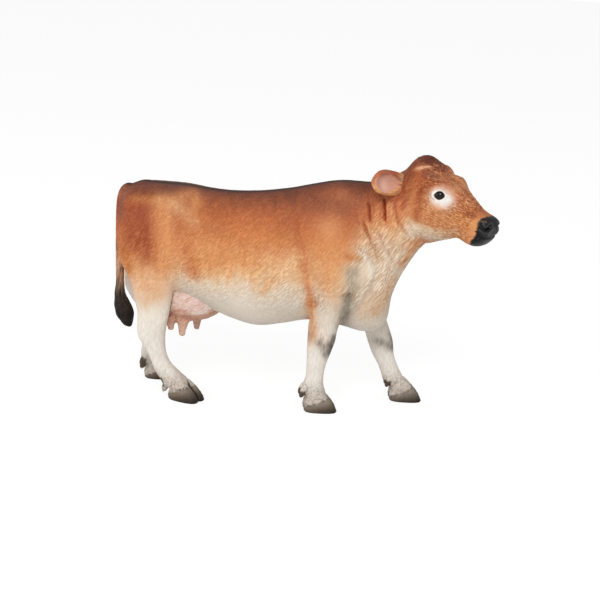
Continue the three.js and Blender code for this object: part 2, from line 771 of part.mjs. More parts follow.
// The origin is under the middle of the figure's box, on the ground.
const middle = new THREE.Box3().setFromObject(figure).getCenter(new THREE.Vector3());
figure.position.set(-middle.x, -middle.y, 0);

export default figure;
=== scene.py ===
# A farm play figure: a fawn dairy cow of solid soft plastic, moulded in ten pieces that are
# glued together, then sprayed and brushed by hand.
import itertools
import math

import bmesh
import bpy
import numpy as np
from mathutils import Matrix, Vector


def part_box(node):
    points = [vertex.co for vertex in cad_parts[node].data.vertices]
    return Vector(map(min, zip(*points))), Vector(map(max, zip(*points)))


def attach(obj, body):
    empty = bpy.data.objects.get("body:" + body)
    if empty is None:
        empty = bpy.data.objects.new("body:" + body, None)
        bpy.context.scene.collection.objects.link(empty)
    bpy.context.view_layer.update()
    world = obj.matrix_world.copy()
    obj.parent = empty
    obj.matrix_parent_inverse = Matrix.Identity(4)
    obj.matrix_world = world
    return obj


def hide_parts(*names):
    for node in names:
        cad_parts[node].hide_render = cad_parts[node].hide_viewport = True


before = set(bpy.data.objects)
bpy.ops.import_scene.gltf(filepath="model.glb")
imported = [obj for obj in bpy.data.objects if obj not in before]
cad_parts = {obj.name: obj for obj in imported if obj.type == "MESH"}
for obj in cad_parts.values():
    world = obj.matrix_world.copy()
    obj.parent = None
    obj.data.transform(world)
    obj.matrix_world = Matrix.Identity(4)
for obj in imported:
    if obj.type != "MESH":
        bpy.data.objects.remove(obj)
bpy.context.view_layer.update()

# View: the figure is seen from its right side, from a little in front and a little above.
# The camera leans to one side, as a camera held in the hand does.
mm = 0.001
picture_width = 600
pixel_at_figure = 0.336 * mm
view_distance = 550 * mm
view_azimuth = math.radians(4)
view_elevation = math.radians(13)
view_lean = math.radians(4)
aim_height = 34.5 * mm
sensor_width = 36

torso_low, torso_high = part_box("torso")
rump_end = -60.7                        # rear end of the torso, from the figure's own origin
origin = Vector((torso_low.x - rump_end * mm, (torso_low.y + torso_high.y) / 2, 0))
aim = origin + Vector((0, 0, aim_height))

towards = Vector((math.sin(view_azimuth) * math.cos(view_elevation),
                  -math.cos(view_azimuth) * math.cos(view_elevation),
                  math.sin(view_elevation)))
level = Vector((math.cos(view_azimuth), math.sin(view_azimuth), 0))
upright = towards.cross(level)
right = level * math.cos(view_lean) + upright * math.sin(view_lean)
above = upright * math.cos(view_lean) - level * math.sin(view_lean)
lens = bpy.data.cameras.new("camera")
lens.sensor_width = sensor_width
lens.lens = sensor_width * view_distance / pixel_at_figure / picture_width
camera = bpy.data.objects.new("camera", lens)
camera.matrix_world = Matrix.Translation(aim + towards * view_distance) @ Matrix(
    (right, above, towards)).transposed().to_4x4()
bpy.context.scene.collection.objects.link(camera)
bpy.context.scene.camera = camera


# Trunk and neck: one swelling form of soft plastic, sculpted as a whole with the limbs and the
# head, and only then parted for the moulds. Sizes are in millimetres until a piece is finished.
body_length = 100
stand_height = 25
body_depth = 50
half_width = 20
throat_shift = 3
withers_share = 0.74
rump_set_back = 64

# Top along, top height, low along, low height, half width, widest line and roundness of each ring
trunk_shares = [
    [0.033, 0.74, 0.034, 0.58, 0.12, 0.55, 2.2],
    [0.036, 0.80, 0.042, 0.48, 0.31, 0.58, 2.3],
    [0.044, 0.85, 0.051, 0.385, 0.54, 0.60, 2.4],
    [0.064, 0.888, 0.073, 0.29, 0.70, 0.62, 2.5],
    [0.11, 0.910, 0.115, 0.23, 0.79, 0.64, 2.6],
    [0.175, 0.912, 0.18, 0.19, 0.86, 0.62, 2.6],
    [0.245, 0.910, 0.25, 0.17, 0.89, 0.56, 2.5],
    [0.32, 0.895, 0.33, 0.11, 0.91, 0.49, 2.4],
    [0.40, 0.892, 0.42, 0.045, 0.96, 0.45, 2.3],
    [0.49, 0.908, 0.505, 0.012, 1.0, 0.42, 2.3],
    [0.58, 0.940, 0.59, 0.040, 0.98, 0.42, 2.3],
    [0.66, 0.980, 0.68, 0.078, 0.91, 0.43, 2.3],
    [0.74, 1.01, 0.78, 0.055, 0.85, 0.44, 2.2],
    [0.81, 1.02, 0.865, 0.035, 0.77, 0.45, 2.2],
    [0.87, 1.035, 0.925, 0.10, 0.66, 0.46, 2.1],
    [0.925, 1.09, 0.943, 0.28, 0.56, 0.50, 2.1],
    [0.965, 1.14, 0.975, 0.45, 0.49, 0.52, 2.1],
    [1.0, 1.18, 1.02, 0.61, 0.44, 0.54, 2.1],
    [1.03, 1.10, 1.06, 0.71, 0.30, 0.54, 2.1],
]
trunk_rings = 90
trunk_points = 72


def smooth_rows(table, count):
    """Rows between the rows of a table, on a smooth curve through them."""
    rows = np.array(table, float)
    ends = np.vstack([2 * rows[0] - rows[1], rows, 2 * rows[-1] - rows[-2]])
    steps = np.linspace(0, len(rows) - 1, count)
    start = np.minimum(steps.astype(int), len(rows) - 2)
    part = (steps - start)[:, None]
    before, first, second, after = (ends[start + shift] for shift in range(4))
    bend = before - 2.5 * first + 2 * second - 0.5 * after
    twist = 1.5 * (first - second) + 0.5 * (after - before)
    return first + part * (second - before) / 2 + part ** 2 * bend + part ** 3 * twist


def along_at(share):
    """Place along the figure of a share of the body's length."""
    return share * body_length - rump_set_back


def height_at(share):
    """Height over the sole of a share of the body's depth."""
    return stand_height + share * body_depth


def power(values, exponent):
    """A power that keeps the sign."""
    return np.sign(values) * np.abs(values) ** exponent


def oval(centre, across, up, count, roundness=2):
    """A ring of points, squarer as its roundness grows past 2."""
    angle = 2 * math.pi * np.arange(count)[:, None] / count
    return (np.array(centre) + power(np.cos(angle), 2 / roundness) * np.array(across)
            + power(np.sin(angle), 2 / roundness) * np.array(up))


def level_oval(centre, length, width, count, roundness=2):
    """A level ring, by its half length along the figure and its half width."""
    return oval(centre, [length, 0, 0], [0, width, 0], count, roundness)


def body_ring(top, low, width, widest, roundness, count):
    """A ring between its top and its low point, widest somewhere between them."""
    angle = 2 * math.pi * np.arange(count)[:, None] / count
    rise = power(np.sin(angle), 2 / roundness)
    level_share = widest + rise * np.where(rise > 0, 1 - widest, widest)
    side = np.array([0, width, 0])
    return low + (top - low) * level_share + power(np.cos(angle), 2 / roundness) * side


def add_object(name, form):
    """A piece of the scene from a finished bmesh."""
    mesh = bpy.data.meshes.new(name)
    form.to_mesh(mesh)
    form.free()
    piece = bpy.data.objects.new(name, mesh)
    bpy.context.scene.collection.objects.link(piece)
    return piece


def loft(name, rings):
    """A closed form over a row of rings with equally many points."""
    form = bmesh.new()
    loops = []
    for ring in rings:
        made = bmesh.ops.create_circle(form, cap_ends=False, radius=1, segments=len(ring))
        for vert, place in zip(made["verts"], ring):
            vert.co = place
        loops.append(list({edge for vert in made["verts"] for edge in vert.link_edges}))
    for loop, following in zip(loops, loops[1:]):
        bmesh.ops.bridge_loops(form, edges=loop + following)
    for loop in (loops[0], loops[-1]):
        bmesh.ops.edgeloop_fill(form, edges=loop)
    bmesh.ops.recalc_face_normals(form, faces=form.faces)
    return add_object(name, form)


def lean_at(along_share):
    """How far the neck leans to the figure's right: nothing up to the withers, most at the throat."""
    past = max(0, along_share - withers_share) / (1 - withers_share)
    return -throat_shift * past * past


def trunk_place(along_share, height_share, side):
    return np.array([along_at(along_share), side, height_at(height_share)])


def trunk_form():
    rings = []
    for top_along, top, low_along, low, width, widest, roundness in smooth_rows(trunk_shares, trunk_rings):
        rings.append(body_ring(trunk_place(top_along, top, lean_at(top_along)),
                               trunk_place(low_along, low, lean_at(low_along)),
                               width * half_width, widest, roundness, trunk_points))
    return loft("trunk", rings)


# Head: modelled in one with the neck, and turned to the figure's right. It has a frame of its own,
# which runs along the head from the throat.
head_length = 32
head_depth = 27
head_half_width = 8.8
head_turn = math.radians(28)
head_shares = [
    [-0.17, 0.60, -0.05, 0.10, 0.55, 0.58, 2.1],
    [-0.12, 0.74, 0.03, 0.0, 0.80, 0.60, 2.1],
    [-0.015, 0.90, 0.17, -0.055, 0.91, 0.61, 2.1],
    [0.11, 0.995, 0.265, -0.025, 0.95, 0.62, 2.2],
    [0.25, 0.93, 0.345, 0.01, 0.99, 0.63, 2.3],
    [0.375, 0.80, 0.42, 0.037, 0.99, 0.65, 2.4],
    [0.485, 0.728, 0.50, 0.067, 0.91, 0.64, 2.4],
    [0.594, 0.64, 0.5625, 0.085, 0.77, 0.60, 2.3],
    [0.70, 0.54, 0.625, 0.06, 0.68, 0.55, 2.3],
    [0.79, 0.456, 0.69, 0.033, 0.67, 0.52, 2.3],
    [0.865, 0.41, 0.766, 0.022, 0.72, 0.50, 2.4],
    [0.92, 0.37, 0.844, 0.048, 0.68, 0.50, 2.4],
    [0.945, 0.28, 0.91, 0.13, 0.42, 0.50, 2.2],
]
head_rings = 70
head_points = 60
throat_place_shares = (0.99, 0.70)
throat = Vector((along_at(throat_place_shares[0]), -throat_shift, height_at(throat_place_shares[1])))
head_frame = Matrix.Translation(throat) @ Matrix.Rotation(-head_turn, 4, "Z")


def moved(points, matrix):
    """Points turned and moved by a matrix."""
    turned = np.array(matrix.to_3x3())
    return np.asarray(points) @ turned.T + np.array(matrix.translation)


def head_place(along_share, height_share, side=0):
    return np.array([along_share * head_length, side, height_share * head_depth])


def head_form():
    rings = []
    for top_along, top, low_along, low, width, widest, roundness in smooth_rows(head_shares, head_rings):
        ring = body_ring(head_place(top_along, top), head_place(low_along, low),
                         width * head_half_width, widest, roundness, head_points)
        rings.append(moved(ring, head_frame))
    return loft("skull", rings)


# Legs: each has its muscles and its pastern in one, from the sole up to the withers or the hip.
# Shoulder and thigh swell out of the flank, and the far foreleg steps forward.
cannon_breadth = 6
cannon_thickness = 5.6
shoulder_breadth = 21
shoulder_thickness = 11
thigh_breadth = 25
thigh_thickness = 12
stature = stand_height + body_depth
limb_roundness = 2.3
limb_rings = 60
limb_points = 44

# A breadth or a thickness of 0 is the cannon's, and one of 1 is the muscle's. Height, side and
# thickness of each ring of the forelegs, then along and breadth of the right one and of the left one
foreleg_shares = [
    [0.055, 0.55, 0.10, 0.722, 0.08, 1.0, 0.08],
    [0.085, 0.55, 0.16, 0.716, 0.10, 0.978, 0.12],
    [0.12, 0.55, 0.12, 0.711, 0.05, 0.964, 0.07],
    [0.16, 0.55, 0.0, 0.714, -0.01, 0.949, 0.05],
    [0.21, 0.55, 0.02, 0.716, 0.03, 0.930, 0.10],
    [0.27, 0.55, 0.22, 0.722, 0.13, 0.917, 0.18],
    [0.32, 0.55, 0.36, 0.727, 0.21, 0.903, 0.18],
    [0.38, 0.56, 0.36, 0.730, 0.25, 0.878, 0.25],
    [0.46, 0.57, 0.55, 0.739, 0.37, 0.838, 0.40],
    [0.53, 0.59, 0.76, 0.747, 0.56, 0.800, 0.56],
    [0.62, 0.60, 0.95, 0.752, 0.82, 0.770, 0.82],
    [0.72, 0.60, 1.0, 0.752, 0.98, 0.756, 0.98],
    [0.81, 0.56, 0.90, 0.750, 0.93, 0.750, 0.93],
    [0.89, 0.47, 0.58, 0.752, 0.62, 0.752, 0.62],
    [0.935, 0.39, 0.20, 0.752, 0.25, 0.752, 0.25],
]
right_foreleg_shares = np.array(foreleg_shares)[:, (0, 3, 4, 1, 2)]
left_foreleg_shares = np.array(foreleg_shares)[:, (0, 5, 6, 1, 2)]

# Height, along, breadth, side and thickness of each ring of the hind legs, whose tops are alike
hip_shares = [
    [0.71, 0.159, 1.0, 0.59, 1.0],
    [0.80, 0.166, 0.92, 0.57, 0.92],
    [0.87, 0.166, 0.62, 0.49, 0.60],
    [0.91, 0.166, 0.30, 0.41, 0.22],
]
right_hindleg_shares = [
    [0.05, 0.262, 0.22, 0.55, 0.14],
    [0.085, 0.245, 0.19, 0.55, 0.18],
    [0.12, 0.220, 0.12, 0.55, 0.12],
    [0.16, 0.197, 0.02, 0.55, 0.0],
    [0.21, 0.179, 0.03, 0.55, 0.02],
    [0.27, 0.162, 0.16, 0.55, 0.22],
    [0.32, 0.160, 0.20, 0.55, 0.30],
    [0.38, 0.163, 0.24, 0.55, 0.30],
    [0.44, 0.160, 0.34, 0.56, 0.42],
    [0.52, 0.157, 0.47, 0.58, 0.66],
    [0.61, 0.152, 0.80, 0.59, 0.90],
] + hip_shares
left_hindleg_shares = [
    [0.05, 0.145, 0.12, 0.62, 0.10],
    [0.085, 0.134, 0.13, 0.62, 0.16],
    [0.12, 0.128, 0.09, 0.62, 0.12],
    [0.16, 0.124, 0.02, 0.62, 0.0],
    [0.21, 0.123, 0.03, 0.61, 0.02],
    [0.27, 0.125, 0.12, 0.60, 0.22],
    [0.32, 0.130, 0.22, 0.57, 0.34],
    [0.38, 0.118, 0.42, 0.51, 0.45],
    [0.44, 0.115, 0.62, 0.49, 0.60],
    [0.52, 0.128, 0.79, 0.52, 0.76],
    [0.61, 0.144, 0.92, 0.57, 0.92],
] + hip_shares


def limb_rows(table, flank, breadth, thickness):
    """Rows of a limb as sizes: centre, half breadth and half thickness."""
    rows = []
    for height, along, wide, side, thick in smooth_rows(table, limb_rings):
        centre = np.array([along_at(along), flank * side * half_width, height * stature])
        half_breadth = (cannon_breadth + wide * (breadth - cannon_breadth)) / 2
        half_thickness = (cannon_thickness + thick * (thickness - cannon_thickness)) / 2
        rows.append((centre, half_breadth, half_thickness))
    return rows


def limb_form(name, rows):
    return loft(name, [level_oval(centre, wide, thick, limb_points, limb_roundness)
                       for centre, wide, thick in rows])


# Parting: the sculpted body is cut apart along the edges of its muscles and the folds of the
# neck, where the glued seams of such a figure hide.
seam_margin = 1
neck_seam_shares = [[0.895, 0.58], [0.803, 1.18]]
cut_reach = 120
cut_gap = 0.05


def settle(piece):
    """Makes what the piece's modifiers show its own mesh."""
    graph = bpy.context.evaluated_depsgraph_get()
    shown = bpy.data.meshes.new_from_object(piece.evaluated_get(graph), depsgraph=graph)
    plain = piece.data
    piece.modifiers.clear()
    piece.data = shown
    bpy.data.meshes.remove(plain)


def joined(piece, tool, operation):
    """The piece with a tool added to it, taken from it or kept in common with it."""
    cut = piece.modifiers.new("cut", "BOOLEAN")
    cut.solver = "MANIFOLD"
    cut.operation = operation
    cut.object = tool
    settle(piece)
    bpy.data.objects.remove(tool)
    return piece


def copied(piece, name):
    """A second piece with the same mesh."""
    twin = piece.copy()
    twin.data = piece.data.copy()
    twin.name = name
    bpy.context.scene.collection.objects.link(twin)
    return twin


def limb_zone(rows, flank):
    """The part of the body that is moulded with a limb: everything outwards of it."""
    rings = []
    for centre, wide, thick in rows:
        rear = centre[0] - wide - seam_margin
        front = centre[0] + wide + seam_margin
        inner = centre[1] - flank * (thick + seam_margin)
        low, high = sorted((inner, flank * cut_reach))
        rings.append([(rear, low, centre[2]), (front, low, centre[2]),
                      (front, high, centre[2]), (rear, high, centre[2])])
    return loft("limb_zone", rings)


def block(low, high):
    """A block between two corners, to cut with."""
    form = bmesh.new()
    bmesh.ops.create_cube(form, size=1)
    low = Vector(low)
    high = Vector(high)
    bmesh.ops.scale(form, vec=high - low, verts=form.verts)
    bmesh.ops.translate(form, vec=(low + high) / 2, verts=form.verts)
    return add_object("block", form)


def front_of_neck():
    """All that lies ahead of the seam between the trunk and the neck."""
    peg, nape = (Vector(trunk_place(along, height, 0)) for along, height in neck_seam_shares)
    tilt = math.atan2(nape.x - peg.x, nape.z - peg.z)
    piece = block((0, -cut_reach, -cut_reach), (cut_reach, cut_reach, cut_reach))
    piece.data.transform(Matrix.Translation(peg) @ Matrix.Rotation(tilt, 4, "Y"))
    return piece


# Each limb's rows and the flank that it is on: -1 for the right, 1 for the left
limbs = {
    "foreleg_right": (limb_rows(right_foreleg_shares, -1, shoulder_breadth, shoulder_thickness), -1),
    "foreleg_left": (limb_rows(left_foreleg_shares, 1, shoulder_breadth, shoulder_thickness), 1),
    "hindleg_right": (limb_rows(right_hindleg_shares, -1, thigh_breadth, thigh_thickness), -1),
    "hindleg_left": (limb_rows(left_hindleg_shares, 1, thigh_breadth, thigh_thickness), 1),
}
body = joined(trunk_form(), head_form(), "UNION")
for name, (rows, flank) in limbs.items():
    body = joined(body, limb_form(name + "_muscles", rows), "UNION")


# Feet: each is a cloven hoof of two toes, flat where they face each other, with two dewclaws
# behind. The horn is painted dark grey, over the pale hair of the pastern.
hoof_length = 11
hoof_width = 9.4
fore_hoof_height = 6
hind_hoof_height = 5
cleft_width = 0.7
toe_inner_share = 0.35
toe_roundness = 2.4
toe_rings = 30
toe_points = 48
dewclaw_length = 4.6
dewclaw_radius = 1.1
dewclaw_side_share = 0.22
dewclaw_tilt = math.radians(22)
dewclaw_rings = 20
dewclaw_points = 32
ripple_share = 0.012                    # of the growth rings in the horn
ripple_turns = 26

# Height, heel, tip and width of a toe
toe_shares = [
    [0.0, 0.05, 0.98, 0.92],
    [0.14, 0.0, 1.0, 0.98],
    [0.45, 0.0, 0.90, 1.0],
    [0.75, 0.05, 0.76, 0.93],
    [1.0, 0.10, 0.62, 0.80],
    [1.25, 0.20, 0.48, 0.55],
]
# Drop and girth down a dewclaw
dewclaw_shares = [[1.0, 0.25], [0.86, 0.70], [0.55, 1.0], [0.25, 0.82], [0.0, 0.42]]

# Each foot: its angle to the line of the body, the height of its hoof, the middle of the leg over
# the hoof, from the heel, and the place of the dewclaws' roots, before the heel and above the sole
feet = {
    "foreleg_right": (math.radians(-10), fore_hoof_height, 0.36, (0.03, 1.5)),
    "foreleg_left": (math.radians(8), fore_hoof_height, 0.36, (0.03, 1.5)),
    "hindleg_right": (math.radians(24), hind_hoof_height, 0.22, (-0.06, 1.2)),
    "hindleg_left": (math.radians(12), hind_hoof_height, 0.36, (0.03, 1.5)),
}


def toe_form(side, hoof_height):
    """One toe, cut off flat on the side of the cleft."""
    toe_width = (hoof_width - cleft_width) / 2
    middle = side * (cleft_width / 2 + toe_inner_share * toe_width)
    rings = []
    for height, heel, tip, width in smooth_rows(toe_shares, toe_rings):
        ripple = 1 + ripple_share * math.sin(height * ripple_turns)
        ring = level_oval([(heel + tip) * hoof_length / 2, middle, height * hoof_height],
                          (tip - heel) * hoof_length / 2 * ripple,
                          (width - toe_inner_share) * toe_width * ripple, toe_points, toe_roundness)
        ring[:, 1] = side * np.maximum(cleft_width / 2, side * ring[:, 1])
        rings.append(ring)
    return loft("toe", rings)


def claw_form():
    return loft("dewclaw", [level_oval([0, 0, -drop * dewclaw_length], girth * dewclaw_radius,
                                       girth * dewclaw_radius, dewclaw_points)
                            for drop, girth in smooth_rows(dewclaw_shares, dewclaw_rings)])


def foot_form(row, flank, foot):
    """A foot under the lowest ring of its leg."""
    turn, hoof_height, coronet_share, (before, higher) = foot
    centre = row[0]
    stand = (Matrix.Translation((centre[0], centre[1], 0)) @ Matrix.Rotation(flank * turn, 4, "Z")
             @ Matrix.Translation((-coronet_share * hoof_length, 0, 0)))
    hoof = joined(toe_form(-1, hoof_height), toe_form(1, hoof_height), "UNION")
    for side in (-1, 1):
        claw = claw_form()
        beside = side * dewclaw_side_share * hoof_width
        place = Matrix.Translation((before * hoof_length, beside, higher * hoof_height))
        claw.data.transform(place @ Matrix.Rotation(dewclaw_tilt, 4, "Y"))
        hoof = joined(hoof, claw, "UNION")
    hoof.data.transform(stand)
    return hoof


# Sculpting: the master is modelled in wax, with soft meetings of its forms, then bones, muscles
# and skin folds are pressed in, and hair is combed into it with a wire tool.

# Along, height, side, reach along, reach up and rise of the muscles and bones; a side of 0 is the
# middle plane, and the others are on both flanks
trunk_swells = [
    [-43, 65, 15, 5, 6, 1.1],
    [-58, 62, 9, 4, 6, 0.9],
    [16, 47.5, 14, 6, 10, 0.8],
    [26, 30, 0, 7, 10, 0.8],
    [12, 74, 5, 8, 5, 0.6],
    [-39, 47, 16, 6, 8, 0.7],
]
# Rise, width, then the way of the tool over the flank: along and height
skin_folds = [
    [-0.45, 0.9, [(-1.7, 68), (-0.6, 59), (1.3, 52), (2.2, 44), (3.6, 36), (4.6, 29)]],
    [0.30, 1.6, [(0.6, 66), (1.6, 58), (3.4, 51), (4.4, 43), (5.9, 35), (6.8, 29)]],
    [-0.75, 0.5, [(19.4, 65.9), (20.3, 63.8), (21.3, 61.7), (22.9, 59), (24.5, 56.2), (26.2, 52)]],
    [-0.40, 0.6, [(17.0, 69.6), (17.4, 67), (18.6, 63.8)]],
    [0.28, 1.1, [(17.4, 69.5), (17.8, 66), (19.2, 62.6), (21.0, 59), (23.2, 54.8)]],
    [-0.70, 0.42, [(20.5, 71.4), (21.3, 69.2), (21.9, 65)]],
    [-0.75, 0.42, [(25.7, 73), (26.2, 69.2), (26.8, 65)]],
    [0.30, 0.9, [(24.4, 73), (24.2, 69.2), (25.2, 65)]],
    [0.40, 0.8, [(22.5, 62.8), (25, 59.5), (27, 57), (29.6, 51.9)]],
    [-0.30, 0.7, [(23.8, 63.4), (26.3, 60.2), (28.4, 57.4), (30.8, 52.4)]],
    [0.36, 0.8, [(27.9, 72.2), (29.4, 66), (31.6, 62.7), (34.2, 59.8)]],
    [-0.28, 0.7, [(29.2, 72.2), (30.6, 66.6), (32.8, 63.4), (35.2, 60.6)]],
    [0.34, 0.8, [(32.7, 66), (34.9, 62.5), (36.8, 59)]],
    [-0.26, 0.7, [(33.8, 66.6), (36, 63.2), (37.9, 59.8)]],
    [0.45, 1.5, [(18.5, 56.5), (22, 53), (23.6, 49.3), (22.6, 45), (19.4, 39), (16.5, 34)]],
    [-0.35, 1.1, [(21, 56.5), (24, 53.5), (25.6, 49.3), (24.6, 44.5), (21.4, 38), (18.5, 33)]],
    [-0.40, 2.2, [(-35.5, 63), (-34.5, 56), (-34.8, 49), (-37, 42)]],
    [-0.22, 1.8, [(-56.5, 58), (-57, 50), (-56.5, 42)]],
]
# Rise of each rib, and along and height of its top
ribs = [(0.16, -28, 58), (0.16, -23, 58), (0.16, -18, 58), (0.16, -13, 59), (0.14, -8, 60)]
for rise, along, height in ribs:
    skin_folds.append([rise, 1.3, [(along, height), (along + 2, height - 8), (along + 3, height - 16)]])


def path_distance(points, path):
    """How far points lie from a line through the places of a path, and where along it."""
    path = np.array(path, float)
    nearest = np.full(len(points), np.inf)
    where = np.zeros(len(points))
    for index, (start, end) in enumerate(zip(path, path[1:])):
        run = end - start
        part = np.clip((points - start) @ run / (run @ run), 0, 1)
        away = np.linalg.norm(points - start - part[:, None] * run, axis=1)
        closer = away < nearest
        nearest = np.where(closer, away, nearest)
        where = np.where(closer, (index + part) / (len(path) - 1), where)
    return nearest, where


def grain(points):
    """Smooth, even noise between -1 and 1, with cells one unit across."""
    cell = np.floor(points).astype(np.int64)
    part = points - cell
    part = part * part * (3 - 2 * part)
    total = np.zeros(len(points))
    for corner in itertools.product((0, 1), repeat=3):
        key = (cell + corner) @ np.array([73856093, 19349663, 83492791])
        key = (key ^ (key >> 13)) * 1274126177 & 0xFFFFFFFF
        key = (key ^ (key >> 15)) * 668265263 & 0xFFFFFFFF
        share = np.prod(np.where(corner, part, 1 - part), axis=1)
        total += share * ((key >> 8 & 0xFFFF) / 0x8000 - 1)
    return total


def ramp(values, start, end):
    """Rises softly from 0 at start to 1 at end."""
    part = np.clip((values - start) / (end - start), 0, 1)
    return part * part * (3 - 2 * part)


def combed(points, heading, lock_width, lock_length):
    """Locks combed at a heading over the flank: about -1 in the grooves and 1 on their backs."""
    along = points[:, 0] * math.cos(heading) + points[:, 2] * math.sin(heading)
    across = points[:, 2] * math.cos(heading) - points[:, 0] * math.sin(heading)
    # Two layers of noise each, so that no lock runs straight and no two are alike
    wide = np.stack([along, across, points[:, 1]], 1) / lock_length
    sway = 0.9 * grain(0.5 * wide) + 0.3 * grain(1.2 * wide + 7)
    lock = np.stack([along / lock_length, across / lock_width + sway,
                     points[:, 1] / (2 * lock_width)], 1)
    return 1.3 * grain(lock) + 0.6 * grain(1.9 * lock + 31)


def points_of(piece):
    """Places and normals of a piece's points."""
    points = np.empty(len(piece.data.vertices) * 3)
    piece.data.vertices.foreach_get("co", points)
    normals = np.empty(len(points))
    piece.data.vertex_normals.foreach_get("vector", normals)
    return points.reshape(-1, 3), normals.reshape(-1, 3)


def set_points(piece, points):
    piece.data.vertices.foreach_set("co", points.ravel())
    piece.data.update()


def fading(away, reach):
    """1 at no distance, and softly less past the reach of a tool or a spray."""
    return np.exp(-(away / reach) ** 2)


def swell_rise(places, swells):
    """How far round swells lift each place."""
    rise = np.zeros(len(places))
    for along, height, side, reach_along, reach_up, lift in swells:
        for flank in (-1, 1) if side else (1,):
            near = (places - [along, flank * side, height]) / [reach_along, reach_up, reach_up]
            rise += lift * np.exp(-(near ** 2).sum(1))
    return rise


def as_drawn(path, places):
    """The places as the path is drawn: along and height, or along, side and height."""
    return places[:, (0, 2)] if len(path[0]) == 2 else places


def stroke_rise(places, strokes):
    """How far the strokes of a tool lift each place; a stroke tapers off at both ends."""
    rise = np.zeros(len(places))
    for lift, width, path in strokes:
        away, where = path_distance(as_drawn(path, places), path)
        taper = np.clip(np.minimum(where, 1 - where) / 0.2, 0, 1) ** 0.5
        rise += lift * taper * fading(away, width)
    return rise


def to_head(points):
    return moved(points, head_frame.inverted())


# Ranges over which the hair of the flank turns into that of the face, the neck and the legs
face_along = (1, 9)
face_height = (56, 62)
neck_along = (12, 20)
neck_height = (30, 42)
neck_foot = 54
neck_slope = 0.3
leg_height = (38, 28)


def hair_weights(places):
    """How far each place belongs to the legs, the neck and the face."""
    height = places[:, 2]
    face = ramp(to_head(places)[:, 0], *face_along) * ramp(height, *face_height)
    leaning = places[:, 0] - neck_slope * (height - neck_foot)
    neck = ramp(leaning, *neck_along) * (1 - face) * ramp(height, *neck_height)
    leg = ramp(height, *leg_height) * (1 - neck) * (1 - face)
    return leg, neck, face


# Heading in degrees, width and length of the locks of the flank, rump, legs, neck and face
lock_runs = [(50, 0.55, 1.5), (80, 0.55, 2.0), (92, 0.5, 2.2), (54, 0.44, 2.4), (163, 0.42, 1.3)]


def locks(places):
    """The run of the hair: slanting on the neck, down the rump and the legs, waved on the face."""
    leg, neck, face = hair_weights(places)
    flank = 1 - np.maximum(np.maximum(leg, neck), face)
    rump = ramp(-places[:, 0], 28, 44)
    shares = (flank * (1 - rump), flank * rump, leg, neck, face)
    return sum(share * combed(places, math.radians(heading), width, length)
               for share, (heading, width, length) in zip(shares, lock_runs))


# Face: brow, cheek, lids, nostrils, mouth and jaw are pressed into the wax in the head's own frame,
# alike on both sides. The lids leave an almond opening, and the balls of the eyes are set behind it.

# Along, height, side, reach along, reach up and rise of the bones and the muscles
head_swells = [
    [3.2, 27, 0, 5, 5.4, 0.4],
    [14.2, 19.9, 5.3, 2.9, 3.2, 1.5],
    [8.3, 7.6, 7, 5.1, 6.5, 0.8],
    [-0.3, 17.8, 7, 3.8, 4.1, 1.1],
    [27.5, 8.1, 6.2, 2.9, 3.8, 0.3],
    [13.4, 15.6, 8.6, 3.2, 2.4, -0.4],
]
# Rise, width and the way of the tool over the head
head_strokes = [
    [0.40, 0.8, [(9.8, 9, 16.6), (11.2, 9, 18.2), (13.2, 9, 18.9), (15.4, 9, 18.3), (17.2, 8, 16.6)]],
    [0.25, 0.7, [(10.6, 9, 14.6), (12.6, 9, 13.6), (15.0, 8.6, 14.0), (17, 8, 15.4)]],
    [-0.35, 0.7, [(16.2, 8.2, 11.6), (19.5, 7, 10), (23, 6.4, 8.6)]],
    [0.35, 1.1, [(14, 8.6, 12.4), (18, 7.6, 10.4), (21.6, 6.6, 8.8)]],
    [-0.50, 0.45, [(22.0, 4.6, 3.4), (25.6, 6.3, 4.2), (28.2, 5.9, 4.6), (29.3, 3.0, 4.2), (29.5, 0, 3.9)]],
    [-0.30, 1.0, [(4.0, 8.6, 3.0), (2.2, 8.8, 7), (1.6, 8.6, 12)]],
    [0.25, 0.9, [(6, 7.6, 1.6), (11, 6.8, 2.0), (16, 6, 2.8)]],
    [0.30, 0.8, [(5.6, 6.0, 23.6), (8.4, 4.6, 24.6), (9.6, 0, 25.2)]],
    [-0.30, 0.7, [(6.6, 6.4, 22.4), (9.4, 4.8, 23.4), (10.8, 0, 23.8)]],
    [-0.45, 1.3, [(6.2, 8.4, 20.5), (6.6, 8.8, 16), (6.2, 8.6, 11)]],
]
nostril_path = [(27.3, 5.9, 9.4), (27.9, 5.9, 8.2), (28.7, 4.9, 7.1), (29.5, 3.8, 7.2), (29.8, 2.7, 8.0)]
eye_place = np.array([13.5, 7.15, 16.2])
eye_radius = 1.9
eye_opening = np.array([1.62, 1.12])    # half length and half height between the lids
eye_hollow = 1.2
lid_rise = 0.36
lid_place = 1.22                        # of the rim of the lids, as a share of the opening
lid_width = 0.24
tuft_rise = 0.34                        # of the clumps of hair between the ears
tuft_place = [4.5, 0, 26.5]
tuft_reach = [7, 6, 4.5]
clump_size = [3.4, 1.3, 2.2]
nostril_rim = 1.2                       # from the middle of the slit


def mirrored(points):
    """Places of the head, all brought to one side of it."""
    return points * [1, 0, 1] + np.abs(points) * [0, 1, 0]


def lid_distance(places):
    """1 on the edge of the almond opening of the eye, less inside it."""
    spot = (places[:, (0, 2)] - eye_place[[0, 2]] - [0.15, 0]) / eye_opening
    corner = 1 - 0.30 * np.clip(spot[:, 0], 0, 1.4) ** 1.5 - 0.12 * np.clip(-spot[:, 0], 0, 1.4)
    return np.hypot(spot[:, 0], spot[:, 1] / np.maximum(corner, 0.3))


